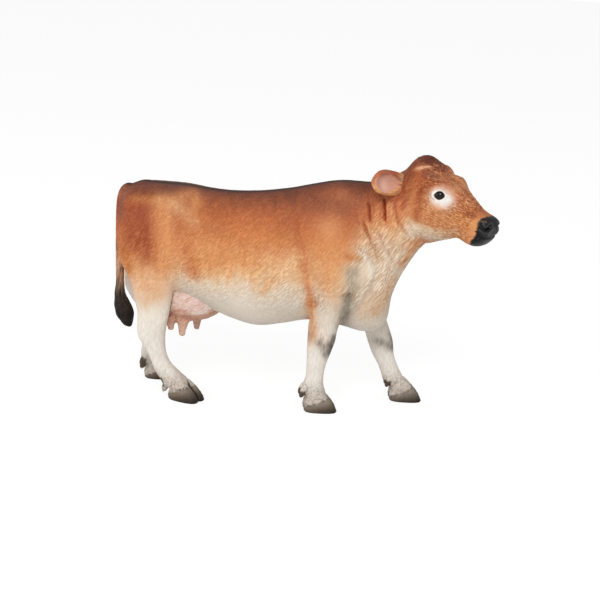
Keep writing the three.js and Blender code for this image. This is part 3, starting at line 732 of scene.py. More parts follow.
def head_relief(points):
    """How far the features of the face lift each place."""
    places = mirrored(to_head(points))
    rise = swell_rise(places, head_swells) + stroke_rise(places, head_strokes)
    on_side = ramp(places[:, 1], 3.5, 5.5)
    edge = lid_distance(places)
    rise += on_side * lid_rise * fading(edge - lid_place, lid_width)
    rise -= on_side * eye_hollow * (1 - ramp(edge, 0.70, 1.02))
    tuft = np.exp(-(((places - tuft_place) / tuft_reach) ** 2).sum(1))
    rise += tuft * tuft_rise * grain(places / clump_size)
    nostril, where = path_distance(places, nostril_path)
    rise -= (0.5 + 0.7 * ramp(where, 0.3, 0.6)) * fading(nostril, 0.5)
    rise += 0.16 * fading(nostril - nostril_rim, 0.45) * ramp(places[:, 0], 25.5, 27.5)
    return rise


# Skin: the sculpted body is moulded in stretches, and combed over with the wire tool. The relief of
# the hair is about a tenth of a millimetre.
hair_relief = 0.12
flank_depth = 0.28                      # of the combing, as a share
neck_depth_change = 0.30
leg_depth_change = -0.20
face_depth_change = 0.40
fold_height = (26, 32)                  # over which the folds set in, above the legs
muzzle_start = (23.5, 26)               # along the head, where the muzzle is left bare
bare_ring = (3.0, 5.0)                  # round the eye
# Change of depth, reach and place of the spots where the wax was combed more or less
hair_spots = [
    (-0.20, 9, (8, 62)), (-0.20, 4, (-45, 57)), (-0.20, 8, (-20, 32)), (-0.18, 7, (-45, 37)),
    (0.25, 5, (-52, 53)), (0.22, 5, (-35, 46)), (0.35, 3.4, (6.5, 38)), (0.15, 6, (25, 34)),
    (0.15, 3, (1, 52)), (0.45, 3, (6, 29)), (0.18, 4, (17.5, 42)), (0.35, 2.6, (10, 24.5)),
    (0.15, 6, (-8, 46)), (-0.20, 4, (19, 48)), (0.25, 3, (39, 59)), (-0.25, 5, (36, 66)),
    (0.45, 6, (44, 83)), (0.45, 5, (53, 76)), (-0.55, 3.2, (17, 46)), (-0.55, 3.2, (16.4, 37)),
    (-0.5, 2.6, (22.6, 50)), (-0.5, 2.6, (22, 41)),
]


def hair_depth(places):
    """How deep the hair is combed in, as a share: deepest on the face, not at all round the eyes."""
    leg, neck, face = hair_weights(places)
    depth = flank_depth + neck_depth_change * neck + leg_depth_change * leg + face_depth_change * face
    for change, reach, spot in hair_spots:
        depth += change * fading(np.linalg.norm(places[:, (0, 2)] - spot, axis=1), reach)
    spots = mirrored(to_head(places))
    muzzle = ramp(spots[:, 0] - 0.25 * (spots[:, 2] - 8), *muzzle_start)
    from_eye = np.linalg.norm((spots - eye_place - [0.8, 0, -0.4])[:, (0, 2)], axis=1)
    near_eye = 1 - ramp(from_eye, *bare_ring)
    bare = np.maximum(muzzle, near_eye) * ramp(spots[:, 0], 4, 8) * ramp(places[:, 2], *face_height)
    return np.clip(depth, 0.03, 1) * (1 - bare)


def soften(piece, grain_size, softness):
    """Gives a piece an even net of points and rounds it off, as a thumb does with wax."""
    net = piece.modifiers.new("net", "REMESH")
    net.mode = "VOXEL"
    net.voxel_size = grain_size
    soft = piece.modifiers.new("soft", "SMOOTH")
    soft.factor = 0.5
    soft.iterations = round(4 * (softness / grain_size) ** 2)
    settle(piece)


def skin_part(name, low, high, grain_size, softness):
    """One stretch of the sculpted skin, between two corners."""
    piece = joined(copied(body, name), block(low, high), "INTERSECT")
    soften(piece, grain_size, softness)
    points, normals = points_of(piece)
    folds = stroke_rise(points, skin_folds) * ramp(points[:, 2], *fold_height)
    rise = swell_rise(points, trunk_swells) + folds + hair_relief * locks(points) * hair_depth(points)
    if name == "painted_head":
        rise += head_relief(points)
    set_points(piece, points + normals * rise[:, None])
    return piece


# Paint: matt colours are sprayed on in soft bands and patches. A dark wash is then brushed over them, which
# stays in the grooves of the hair, and a little dry paint is drawn over the ridges. A few patches and
# strokes are painted light, painted shade and painted highlights, noted where they stand.
cream = "d9cfc0"
tan = "d79763"
fox = "c4764a"
chestnut = "a65c39"


def shade(code):
    """The red, green and blue of a colour's code."""
    return np.array([int(code[start:start + 2], 16) for start in (0, 2, 4)]) / 255


def banded(values, bands):
    """A colour for each value, from bands of falling value and colour."""
    stops = np.array([stop for stop, code in bands][::-1])
    shades = np.array([shade(code) for stop, code in bands][::-1])
    return np.stack([np.interp(values, stops, column) for column in shades.T], 1)


def covered(paint, colours, cover):
    """Paint under other colours, as far as they cover it."""
    return paint + np.clip(cover, 0, 1)[:, None] * (colours - paint)


def sprayed(paint, *layers):
    """Paint under one layer after another, each with its colour and how far it covers."""
    for code, cover in layers:
        paint = covered(paint, shade(code), cover)
    return paint


def patch(places, path, width, flank=0):
    """How far a sprayed stroke covers each place; a flank of 0 is both."""
    cover = fading(path_distance(as_drawn(path, places), path)[0], width)
    return cover * (ramp(flank * places[:, 1], -2, 3) if flank else 1)


# Height and colour of each band, from the top down
flank_bands = [(76, "5c3322"), (72.5, "6c3c29"), (69.5, "824a33"), (66, "a05a38"), (62, "b0663b"),
               (57.5, "bf7848"), (53, "ce8f60"), (49, "d9a677"), (45, "dcb690"), (41, "dac8b2"),
               (36, "d5ccbf"), (30, "cdc2b3")]
rump_bands = [(76, "5c3322"), (71.5, "653a2a"), (69.5, "804b33"), (67, "9c5a38"), (63, "9b5434"),
              (58, "a75b3a"), (53, "b3673f"), (49.5, "c47c50"), (46, "cd8e5f"), (42.5, "d9a57a"),
              (39, "deb391"), (34, "e0c4aa"), (30, "dcd3c4"), (24, "dad2c5")]
neck_bands = [(84, "7c4732"), (78, "9a563a"), (73, "a55c3c"), (69, "cc855a"), (66, "d39163"),
              (63, "dcab80"), (60, "e3bd9c"), (56, "e0cab0"), (50, "e2cfb8"), (44, "e2ceb5"),
              (36, "ddc6aa"), (30, "d4c6b4")]
leg_bands = [(60, fox), (52, "d29a6c"), (46, "dcb38d"), (40, "dcc5ab"), (35, "dfd3c4"), (28, "dfd8cd"),
             (12, "ded9d1"), (7, "cfc8be"), (4.5, "c2bab0")]
horn_bands = [(5.6, "b3aa9c"), (3.8, "958c80"), (2.4, "776e62"), (1.0, "574e44"), (-0.2, "3c352e"),
              (-1.4, "2b2622")]
tail_bands = [(70, "7c4c38"), (66, "965b41"), (63, "8a452a"), (60, "8f4a2c"), (57, "a65c37"),
              (51, "b9714a"), (48, "c38257"), (45, "c89170"), (41, "b48e75"), (37, "99785f"),
              (33.5, "5a4c41"), (31, "2e261f"), (26, "201b18")]
face_bands = [(32, "733f2c"), (27, "96563a"), (23, "b06740"), (17, "c38151"), (12, "cb8b5d"),
              (9.8, "c68c60"), (8.6, "d2ab88"), (6.5, "dccbb5")]

# Colour, cover, width and path of each stroke of the spray, and its flank where it is on one only. A few
# strokes are painted light and painted highlights, noted where they stand.
coat_sprays_and_painted_light = [
    ("8b4127", 0.60, 3.2, [(-52.6, 66), (-51.6, 61), (-50.4, 55), (-49, 49)]),
    ("8f4629", 0.55, 2.6, [(-56.4, 63), (-55.6, 57), (-55.4, 51)]),
    ("a8602f", 0.60, 2.6, [(-57.2, 49), (-55.8, 44)]),
    ("74402e", 0.65, 1.8, [(-59, 68.4), (-50, 70)]),
    (tan, 0.75, 4.0, [(-45, 63), (-44, 56), (-44, 50)]),
    ("ad6e42", 0.75, 1.3, [(-55, 66.4), (-49, 66.8)]),
    # Lighter tan over the hip bone: partly the coat's own paint, partly a painted highlight where the bone
    # catches the light
    ("d39a6b", 0.80, 2.0, [(-47, 66.8), (-42, 66.6)]),
    ("c98557", 0.85, 2.4, [(-39.5, 68.4), (-36.6, 69.0), (-35, 66.5)]),
    ("cf9a70", 0.65, 2.4, [(-41, 65.5), (-37.5, 63.5), (-35.5, 61)]),
    ("8f5138", 0.50, 3.2, [(0, 71.5), (6, 72.5)]),
    (fox, 0.40, 2.6, [(-37, 53), (-35.5, 48), (-34.5, 45)]),
    (tan, 0.50, 1.0, [(-28.5, 50), (-28.6, 44)]),
    (tan, 0.55, 1.1, [(-21, 51), (-21.8, 45)]),
    (tan, 0.50, 1.2, [(-7, 48), (-9, 44), (-11, 40.5)]),
    (chestnut, 0.40, 1.4, [(-1.8, 68), (-0.7, 62), (1.0, 55)]),
    ("c98450", 0.70, 4.2, [(-33, 48.4), (-25, 50), (-19, 51)]),
    ("c07545", 0.50, 3.6, [(-18, 57.5), (-14, 57)]),
    ("e8c39d", 0.45, 3.4, [(-7, 46), (-2, 51)]),
    ("b06a4a", 0.60, 4.0, [(10, 73.5), (15, 71.5), (18, 69.5)]),
    ("b96a41", 0.65, 1.5, [(2.0, 51), (3.4, 44), (5.0, 37)]),
    (tan, 0.40, 2.2, [(4.6, 37), (5.2, 30), (5.4, 25)]),
    ("d0905f", 0.60, 5.0, [(9, 62), (12, 54), (11, 48)]),
    ("d39c70", 0.45, 2.6, [(21, 63), (24, 58), (25, 54)]),
    ("cf9566", 0.50, 3.6, [(8, 46), (11.4, 42)]),
    ("c0733f", 0.60, 1.3, [(15.5, 54.0), (20, 54)]),
    # Pale stroke along the ridge in front of the shoulder: partly the coat's own paint, partly a painted
    # highlight
    ("d9cfc2", 0.85, 1.5, [(20.6, 55), (23.2, 51.5), (24.2, 48.4), (22.8, 44), (19, 38), (16, 33)]),
    ("d6c6b2", 0.60, 2.4, [(23, 45), (24, 40), (21, 34)]),
    (chestnut, 0.45, 2.0, [(20.5, 72), (21, 67)]),
    (chestnut, 0.40, 1.6, [(25.2, 73), (25.8, 68)]),
    (cream, 0.60, 3.5, [(26, 59), (28, 54), (30, 48)]),
    ("cfae8e", 0.40, 3.0, [(22.5, 42), (23, 36)]),
    # Painted light: the cream of the chest made lighter where the chest turns away from the lamps
    ("eddac2", 0.80, 3.2, [(28.6, 43), (29.4, 52)]),
    ("e6dcdc", 0.95, 5.0, [(-57, 41), (-56, 36), (-54, 30)], 1),
    # Painted light: near-white on the far foreleg above the knee, where that leg lies in shade
    ("efe6da", 0.60, 2.4, [(27.6, 28), (27.2, 24.6)], 1),
]


coat_streak_size = [1.6, 4, 7]
face_streak_size = [3.5, 2, 1.3]


def coat_paint(points):
    """The colours of the coat, as sprayed on the body, the neck and the upper legs."""
    along = points[:, 0]
    height = points[:, 2]
    streak = grain(points / coat_streak_size)
    ragged = height + 1.6 * streak
    leg, neck = hair_weights(points)[:2]
    rump = ramp(-along, 36, 45)
    legs = leg * ramp(height, 40, 32)
    behind = ramp(-along, 57, 60) * ramp(height, 44, 50)
    paint = banded(ragged, flank_bands)
    for bands, cover in ((rump_bands, rump), (neck_bands, neck), (leg_bands, legs), (tail_bands, behind)):
        paint = covered(paint, banded(ragged, bands), cover)
    for code, cover, width, path, *flank in coat_sprays_and_painted_light:
        paint = sprayed(paint, (code, cover * patch(points, path, width, *flank) * (1 + 0.35 * streak)))
    return paint


# Height and place along the head of the black muzzle's rear edge, from the chin up
muzzle_edge = [(0, 23.2), (2.2, 24.3), (3.4, 25.3), (4.6, 26.2), (6.2, 26.8), (8.3, 27.2), (9.6, 26.8),
               (10.4, 27.0), (11.0, 28.2), (12, 32)]
nostril_hook = [(27.3, 5.6, 9.9), (28.3, 5.1, 9.9), (29.0, 4.2, 9.7)]
face_sprays_and_painted_shade = [
    (chestnut, 0.75, 1.8, [(6.4, 20), (6.6, 14), (6.0, 8)]),
    # Painted shade: greyish brown on the forehead above the brow
    ("8a5a46", 0.35, 2.0, [(7, 23), (10, 22)]),
    ("d6966a", 0.85, 3.2, [(12, 3, 21.4), (16.4, 2.6, 19.2), (21.4, 2, 15.4)]),
    ("5e3225", 0.90, 4.2, [(0, 0, 26.5), (4, 0, 28), (7, 0, 27.5)]),
    ("63352a", 0.75, 2.4, [(1, 4, 26.0), (6, 3, 27.2)]),
    ("e8b690", 1.0, 0.7, [(3.6, 6.8, 23.4), (6.7, 6.0, 24.4), (8.7, 4.4, 25.1), (9.6, 0.3, 25.6)]),
    # Painted shade: greyish brown above the brow ridge over the eye
    ("8f6350", 0.60, 1.2, [(9, 7, 22.6), (12, 6, 21.8)]),
    ("7a4030", 0.50, 0.9, [(23, 5, 11.6), (25, 5, 10.6)]),
    ("dcb3a2", 0.55, 3.9, [(13.8, 8, 15.4), (16.4, 8, 14.9)]),
    ("dfdad7", 1.35, 2.5, [(13.5, 8, 15.8), (15.9, 8, 15.3)]),
    (tan, 0.6, 1.6, [(24, 5.5, 9.4), (26.5, 5.5, 9.6)]),
    ("c98a5c", 0.7, 2.4, [(21.5, 5, 3), (24, 4, 2.4)]),
    ("8a4d33", 0.35, 1.8, [(16, 0, 21), (22, 0, 16.5), (27, 0, 12)]),
    ("dfc8ad", 0.70, 1.5, [(8, 7, 3.0), (14.2, 6.4, 3.8), (19, 6, 4.4)]),
]


def muzzle_cover(points):
    """How far each place lies on the bare, black muzzle."""
    places = mirrored(to_head(points))
    rear = np.interp(places[:, 2], *np.array(muzzle_edge).T)
    ragged = 0.5 * grain(places / [1.4, 0.6, 0.5])
    return ramp(places[:, 0] - rear + ragged, -0.35, 0.55) * ramp(points[:, 2], 54, 56)


def face_paint(points, paint):
    """The colours of the head, over those of the neck."""
    places = mirrored(to_head(points))
    along, side, height = places.T
    face = ramp(along, 0.5, 5) * ramp(points[:, 2], 58, 62)
    streak = grain(places / face_streak_size)
    paint = covered(paint, banded(height + 0.8 * streak + 0.35 * along, face_bands), face)
    for code, cover, width, path in face_sprays_and_painted_shade:
        paint = sprayed(paint, (code, face * cover * patch(places, path, width) * (1 + 0.25 * streak)))
    nostril = path_distance(places, nostril_path)[0]
    near_eye = ramp(side, 3.5, 5.5) * face
    edge = lid_distance(places)
    rear_lid = ramp(eye_place[0] - 0.3 - along, 0, 1.2) * ramp(17.2 - height, 0, 1)
    return sprayed(
        paint,
        ("131214", muzzle_cover(points)),
        ("9a7252", 0.7 * patch(places, nostril_hook, 0.45)),
        # Painted highlight: grey on the rim of the nostril
        ("5a5f62", 0.5 * fading(nostril - nostril_rim, 0.35) * ramp(along, 27, 28.5)),
        ("080808", fading(nostril, 0.55)),
        ("ece5df", near_eye * fading(edge - 1.35, 0.35)),
        ("77716c", 0.6 * near_eye * rear_lid * fading(edge - 1.75, 0.14)),
        ("0c0b0b", near_eye * (1 - ramp(edge, 0.92, 1.10))))


# Colour, cover, width and path of the thin washes that are brushed over the hair, and of one stroke of
# painted shade along the belly
washes_and_painted_shade = [
    ("bf6f3d", 0.35, 1.5, [(4.4, 38), (5.2, 31), (6.2, 25.6)]),
    ("c07849", 0.30, 1.6, [(31, 46), (28, 40), (26, 35)]),
    ("bd7040", 0.55, 1.3, [(38.6, 60.2), (36.5, 57), (33, 51.5)]),
    ("bf7345", 0.15, 4.0, [(21, 65), (25, 61), (28, 56)]),
    ("c98a5c", 0.40, 3.0, [(-50, 38), (-46, 36), (-50, 33)]),
    ("b06039", 0.40, 2.2, [(-36.5, 52), (-35.5, 48), (-34, 44)]),
    ("8f8678", 0.80, 2.5, [(17.0, 49), (18.2, 44.4), (17.2, 39.5), (16.4, 34.5), (15.2, 30)]),
    ("6f695f", 0.65, 1.4, [(16.8, 40.5), (16.4, 36), (16.0, 32.5)]),
    ("6f6960", 0.65, 1.5, [(8.4, 24.0), (10.2, 22.2), (11.0, 20.0)]),
    ("4a4540", 0.85, 1.2, [(13.2, 26.0), (12.2, 23.4), (12.4, 20.2)]),
    ("7f7a71", 0.70, 1.6, [(27.2, 20.6), (29.7, 20.0), (31.4, 18.8)]),
    ("4f4a44", 0.70, 1.0, [(31.4, 23.4), (32.2, 20.6), (32.8, 17.8)]),
    ("a0968a", 0.45, 2.0, [(30.6, 28), (31.0, 24)]),
    # Painted shade: grey-brown along the bottom of the belly, behind the forelegs
    ("7d6d60", 0.60, 2.0, [(4, 25.6), (-2, 25.8), (-9, 25.4)]),
]


def linear(paint):
    """Colours as the renderer counts them, from colours as a screen shows them."""
    return np.where(paint <= 0.04045, paint / 12.92, ((paint + 0.055) / 1.055) ** 2.4)


def keep_paint(piece, paint, **hair):
    """Keeps the colour of each point of the piece, and numbers on the run and the depth of its hair."""
    field = piece.data.attributes.new("paint", "FLOAT_COLOR", "POINT")
    shades = np.column_stack([linear(np.clip(paint, 0, 1)), np.ones(len(paint))])
    field.data.foreach_set("color", shades.astype(np.float32).ravel())
    for name, values in hair.items():
        field = piece.data.attributes.new(name, "FLOAT", "POINT")
        field.data.foreach_set("value", (values + np.zeros(len(paint))).astype(np.float32))


class Value:
    """A socket of a material; sums on it add Math nodes."""

    def __init__(self, tree, socket=None):
        self.tree = tree
        self.socket = socket

    def node(self, kind, settings=(), sockets=(), output=0):
        """Adds a node with its settings, then with the values or links of its sockets."""
        made = self.tree.nodes.new(kind)
        for key, value in dict(settings).items():
            setattr(made, key, value)
        for key, value in dict(sockets).items():
            if isinstance(value, Value):
                self.tree.links.new(value.socket, made.inputs[key])
            else:
                made.inputs[key].default_value = value
        return Value(self.tree, made.outputs[output] if made.outputs else None)

    def math(self, operation, first, second):
        return self.node("ShaderNodeMath", {"operation": operation}, {0: first, 1: second})

    def __add__(self, other):
        return self.math("ADD", self, other)

    def __sub__(self, other):
        return self.math("SUBTRACT", self, other)

    def __mul__(self, other):
        return self.math("MULTIPLY", self, other)

    def __rsub__(self, other):
        return self.math("SUBTRACT", other, self)

    __radd__ = __add__
    __rmul__ = __mul__

    def limited(self):
        return self.node("ShaderNodeClamp", sockets={0: self})

    def mixed(self, factor, other, blend="MIX"):
        """Another colour over this one: a Mix has its colours at sockets 6 and 7, and at output 2."""
        settings = {"data_type": "RGBA", "blend_type": blend}
        return self.node("ShaderNodeMix", settings, {0: factor, 6: self, 7: other}, 2)

    def noise(self, place, scale, detail):
        return self.node("ShaderNodeTexNoise", sockets={"Vector": place, "Scale": scale, "Detail": detail})


def new_material(name):
    """An empty material, and the start of its nodes."""
    material = bpy.data.materials.new(name)
    material.use_nodes = True
    material.node_tree.nodes.clear()
    return material, Value(material.node_tree)


# Heading in degrees, width and length of the single hairs of the flank, legs, neck and face
hair_runs = [(48, 0.42, 1.4), (90, 0.40, 1.8), (54, 0.36, 2.3), (158, 0.38, 1.1)]
strand_contrast = 3.6
groove_wash = (0.60, 0.36, 0.23, 1)
ridge_paint = (1.0, 0.86, 0.72, 1)
cloud_paint = (0.93, 0.86, 0.76, 1)
cloud_scale = 160.0                     # cells in a metre, as for the specks
speck_scale = 5200.0
speck_height = 0.06                     # as a share of the hair's
hair_height = 0.32 * mm
ridge_strength = 0.34
paint_roughness = 0.48
muzzle_gloss = 0.22
paint_ior = 1.27


def strands(start, heading, width, length):
    """Single hairs at a heading over the flank: 0 in the grooves, 1 on the hairs."""
    place = start.node("ShaderNodeTexCoord", output="Object")
    turned = start.node("ShaderNodeMapping", {"vector_type": "TEXTURE"}, {
        "Vector": place, "Rotation": (0, -heading, 0), "Scale": (length, width * 2, width)})
    wave = start.node("ShaderNodeTexNoise", {"noise_dimensions": "3D"}, {
        "Vector": turned, "Scale": 1.0, "Detail": 1.0, "Roughness": 0.55, "Distortion": 0.35})
    return ((wave - 0.5) * strand_contrast + 0.58).limited()


def coat_material():
    """Matt paint over combed hair, with a darker wash in the grooves between the hairs."""
    material, start = new_material("painted_coat")
    paint = start.node("ShaderNodeAttribute", {"attribute_name": "paint"})
    depth, leg, neck, face, gloss = (
        start.node("ShaderNodeAttribute", {"attribute_name": name}, output="Fac")
        for name in ("depth", "leg", "neck", "face", "gloss"))
    flank_hair, leg_hair, neck_hair, face_hair = (
        strands(start, math.radians(heading), width * mm, length * mm)
        for heading, width, length in hair_runs)
    flank = (1 - leg - neck - face).limited()
    hair = flank_hair * flank + leg_hair * leg + neck_hair * neck + face_hair * face
    strength = (depth * 0.85 + 0.14).limited()
    groove = (1 - hair) * strength
    grooved = paint.mixed(groove, paint.mixed(1.0, groove_wash, "MULTIPLY"))
    ridge = ((hair - 0.55) * 2.2).limited() * strength
    toned = grooved.mixed(ridge * ridge_strength, ridge_paint, "SOFT_LIGHT")
    place = start.node("ShaderNodeTexCoord", output="Object")
    cloud = start.noise(place, cloud_scale, 3.0)
    cloudy = toned.mixed((cloud - 0.5) * 0.5 + 0.12, cloud_paint, "SOFT_LIGHT")
    relief = hair * strength + start.noise(place, speck_scale, 1.0) * speck_height
    bump = start.node("ShaderNodeBump", sockets={
        "Strength": 1.0, "Distance": hair_height, "Height": relief})
    roughness = cloud * 0.2 + paint_roughness - gloss * muzzle_gloss
    shader = start.node("ShaderNodeBsdfPrincipled", sockets={
        "Base Color": cloudy, "Roughness": roughness, "Normal": bump, "IOR": paint_ior})
    start.node("ShaderNodeOutputMaterial", sockets={0: shader})
    return material


coat_finish = coat_material()
sharp_angle = math.radians(50)


def dressed(piece, material, node):
    """Puts a finished piece in its place in the frame."""
    piece.data.transform(Matrix.Translation(origin) @ Matrix.Scale(mm, 4))
    piece.data.materials.clear()
    piece.data.materials.append(material)
    piece.data.shade_smooth()
    piece.data.set_sharp_from_angle(angle=sharp_angle)
    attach(piece, "root")
    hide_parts(node)


# Tints of the wash and of the dry paint, which in the folds of the skin are partly painted shade and
# painted highlights, how strongly they take on the hair and on the folds, and the half widths of the dark
# stripe and its line along the spine
wash_and_shade_tint = np.array([0.72, 0.48, 0.35])
dry_paint_and_highlight_tint = np.array([0.75, 0.62, 0.45])
hair_wash_strength = 0.26
neck_fold_wash_and_shade_strength = 0.7
hair_paint_strength = 0.14
fold_paint_and_highlight_strength = 0.28
spine_width = 7
spine_line = 2.3


def antiqued_and_shaded(points, normals, paint):
    """Dark wash in the grooves of the hair and dry paint on its ridges; in the folds of the skin, darker
    paint that is partly wash and partly painted shade, and on their backs lighter paint that is partly dry
    paint and partly a painted highlight.
    """
    lock = locks(points)
    depth = hair_depth(points)
    neck, face = hair_weights(points)[1:]
    crown = ramp(points[:, 2], 58, 64)
    upward = crown * ramp(normals[:, 2], 0.70, 0.90) * (1 - 0.7 * face)
    spine = np.abs(points[:, 1] + 0.4 * lock)
    paint = sprayed(paint, ("64372a", 0.55 * upward * np.exp(-(spine / spine_width) ** 4)),
                    ("2a1711", 0.85 * upward * fading(spine, spine_line)))
    groove = ramp(-lock, 0.1, 1.0)
    # Folds: the darker paint in their hollows is partly wash and partly painted shade, and the lighter
    # paint on their backs is partly dry paint and partly a painted highlight
    deep = -stroke_rise(points, [(min(2 * lift + 0.2, -0.3), 0.38, path)
                                 for lift, width, path in skin_folds if lift < 0])
    back = stroke_rise(points, [(1, 0.6, path) for lift, width, path in skin_folds if lift > 0.32])
    dark = hair_wash_strength * depth * groove + (0.2 + neck_fold_wash_and_shade_strength * neck) * deep * crown
    paint = paint * (1 - np.clip(dark, 0, 1)[:, None] * (1 - wash_and_shade_tint))
    ridge = (hair_paint_strength * ramp(lock, 0.1, 1.0) * depth
             + fold_paint_and_highlight_strength * neck * np.clip(back, 0, 1))
    paint = paint + ridge[:, None] * (1 - paint) * dry_paint_and_highlight_tint
    brushed = 0.8 + 0.3 * groove + 0.3 * grain(points / [0.5, 0.9, 1.8])
    for code, cover, width, path in washes_and_painted_shade:
        paint = sprayed(paint, (code, cover * patch(points, path, width) * brushed))
    return paint


horn_height_share = 0.72                # of the hoof at its heel, less the drop of the pastern's hair
horn_slope = 0.42
pastern_drop = 1.1


def hoof_paint(points, paint, foot, centre):
    """Grey horn over the toes and the tips of the dewclaws, and specks on the pale pastern."""
    turn, hoof_height = foot[:2]
    flank = math.copysign(1, centre[1])
    ahead, beside = (points - centre)[:, 0], (points - centre)[:, 1]
    forward = ahead * math.cos(turn) + beside * flank * math.sin(turn)
    aside = beside * math.cos(turn) - ahead * flank * math.sin(turn)
    height = points[:, 2]
    ragged = 0.5 * grain(points / [0.45, 0.45, 0.7])
    edge = horn_height_share * hoof_height + horn_slope * forward - pastern_drop + ragged
    horn = ramp(edge - height, -0.3, 0.3)
    claw = ramp(-forward, 3.4, 4.2) * ramp(7.0 - height, -0.5, 0.5) * ramp(height, 3.4, 4.0)
    specks = ramp(grain(points / [0.3, 0.3, 0.45]), 0.0, 0.6) * ramp(12 - height, 0, 7)
    cleft = ramp(height, 7, 5) * ramp(forward, 0, 3) * fading(aside, 0.5)
    paint = sprayed(paint, ("a39a8f", 0.45 * ramp(10 - height, 0, 5) * (0.6 + ragged)),
                    ("6a635b", 0.50 * specks))
    paint = covered(paint, banded(height - 0.25 * forward, horn_bands), horn)
    return sprayed(paint, ("4a4038", claw),
                   ("2f2a26", 0.75 * fading(edge - height + 0.1, 0.35) * (0.6 + ragged)),
                   ("1d1a18", cleft))


def painted(piece):
    """Stores the sprayed colours and the run of the hair on a stretch of skin."""
    points, normals = points_of(piece)
    paint = antiqued_and_shaded(points, normals, face_paint(points, coat_paint(points)))
    foot = piece.name.removeprefix("painted_")
    if foot in feet:
        paint = hoof_paint(points, paint, feet[foot], limbs[foot][0][0][0] * [1, 1, 0])
    leg, neck, face = hair_weights(points)
    keep_paint(piece, paint, leg=leg, neck=neck, face=face, depth=hair_depth(points),
               gloss=muzzle_cover(points))


# Ears: each is a cupped leaf of soft plastic with a thick rim. Its root is glued into a socket of
# the head, which the ear's own form cuts.
ear_length = 14.2
ear_height = 9
ear_depth = 4.6
ear_wall = 1.2
ear_hollow_depth_share = 0.62
ear_sweeps = {-1: math.radians(14), 1: math.radians(-23)}
ear_rise = math.radians(7)
ear_base_shares = (-0.04, 0.635, 0.72)
ear_points = 48
leaf_rings = 44
hollow_rings = 36

# Along, middle, height and depth of the ear's leaf, then of its hollow
ear_shares = [
    [-0.24, 0.0, 0.66, 0.50],
    [0.0, 0.02, 0.80, 0.66],
    [0.12, 0.04, 0.84, 0.74],
    [0.26, 0.05, 0.88, 0.86],
    [0.44, 0.06, 0.91, 1.0],
    [0.62, 0.07, 0.90, 0.96],
    [0.79, 0.07, 0.76, 0.75],
    [0.92, 0.06, 0.46, 0.45],
    [1.0, 0.06, 0.12, 0.16],
]
hollow_shares = [
    [0.06, 0.10, 0.14, 0.55],
    [0.18, 0.10, 0.36, 0.80],
    [0.32, 0.09, 0.58, 0.95],
    [0.48, 0.08, 0.73, 1.0],
    [0.64, 0.08, 0.74, 0.96],
    [0.79, 0.08, 0.60, 0.76],
    [0.90, 0.08, 0.32, 0.50],
    [0.95, 0.08, 0.10, 0.30],
]


def ear_frame(flank):
    """From root to tip, across the leaf, and towards its open side."""
    along, height, side = ear_base_shares
    root = Matrix.Translation(head_place(along, height, flank * side * head_half_width))
    sweep = ear_sweeps[flank]
    out = Vector((-math.sin(sweep), flank * math.cos(sweep), math.sin(ear_rise))).normalized()
    front = (Vector((1, 0, 0)) - out * out.x).normalized()
    return head_frame @ root @ Matrix((out, front.cross(out), front)).transposed().to_4x4()


def ear_rings(table, flank, grow, lift, count):
    """Rings over a table of the ear, made thicker by grow and moved by lift to its open side."""
    rings = []
    for along, middle, height, depth in smooth_rows(table, count):
        centre = [along * ear_length, flank * middle * ear_height, lift]
        rings.append(moved(oval(centre, [0, height * ear_height / 2 + grow, 0],
                                [0, 0, depth * ear_depth / 2 + grow], ear_points), ear_frame(flank)))
    return rings


def ear_leaf(flank, grow):
    return loft("ear", ear_rings(ear_shares, flank, grow, 0, leaf_rings))


def ear_hollow(flank):
    lift = ear_hollow_depth_share * ear_depth / 2 + ear_wall / 2
    return loft("ear_hollow", ear_rings(hollow_shares, flank, 0, lift, hollow_rings))


# Udder: a bag of soft plastic with four teats. It is moulded apart and glued into a recess of the
# torso, between the thighs.
udder_length = 23
udder_width = 24
udder_depth = 14.5
udder_roundness = 2.2
teat_length = 5.2
teat_radius = 1.3
udder_place_shares = (0.172, 0.005)
udder_rings = 40
udder_points = 64
teat_rings = 24
teat_points = 24

# Height, rear, front and half width of the bag
udder_shares = [
    [0.0, 0.20, 0.60, 0.45],
    [0.10, 0.10, 0.77, 0.70],
    [0.27, 0.02, 0.90, 0.90],
    [0.50, 0.0, 1.0, 1.0],
    [0.75, 0.03, 1.0, 1.0],
    [1.0, 0.10, 0.94, 0.92],
]
# Place along the udder, side and length of each teat, then drop and girth down one
teat_place_shares = [[0.185, -0.42, 0.68], [0.365, -0.50, 0.98], [0.185, 0.42, 0.68], [0.51, 0.42, 1.0]]
teat_shares = [[1.0, 0.45], [0.92, 0.78], [0.60, 0.92], [0.30, 1.15], [0.0, 1.7], [-0.4, 2.2]]


def udder_place(along, height, side):
    place_along, place_height = udder_place_shares
    return np.array([along_at(place_along) + along * udder_length, side * udder_width / 2,
                     height_at(place_height) + height * udder_depth])


def udder_bag(grow):
    """The bag, or the recess for it where it is grown by the glue gap."""
    rings = []
    for height, rear, front, width in smooth_rows(udder_shares, udder_rings):
        centre = udder_place((rear + front) / 2, height, 0) + [0, 0, grow * (2 * height - 1)]
        rings.append(level_oval(centre, (front - rear) * udder_length / 2 + grow,
                                width * udder_width / 2 + grow, udder_points, udder_roundness))
    return loft("udder", rings)


def teat_form(along, side, length):
    root = udder_place(along, 0, side)
    return loft("teat", [level_oval(root - [0, 0, drop * length * teat_length], girth * teat_radius,
                                    girth * teat_radius, teat_points)
                         for drop, girth in smooth_rows(teat_shares, teat_rings)])


# Tail: it hangs down the rump in the middle plane and ends in a black switch of hair. It lies in a
# pad of flesh, and is moulded apart and glued into the rump.
tail_thickness = 3.2
switch_thickness = 5.2
tail_border = 0.35                      # of the flesh that is moulded with the tail
tail_rings = 90
tail_points = 32
pad_rings = 40
pad_points = 48
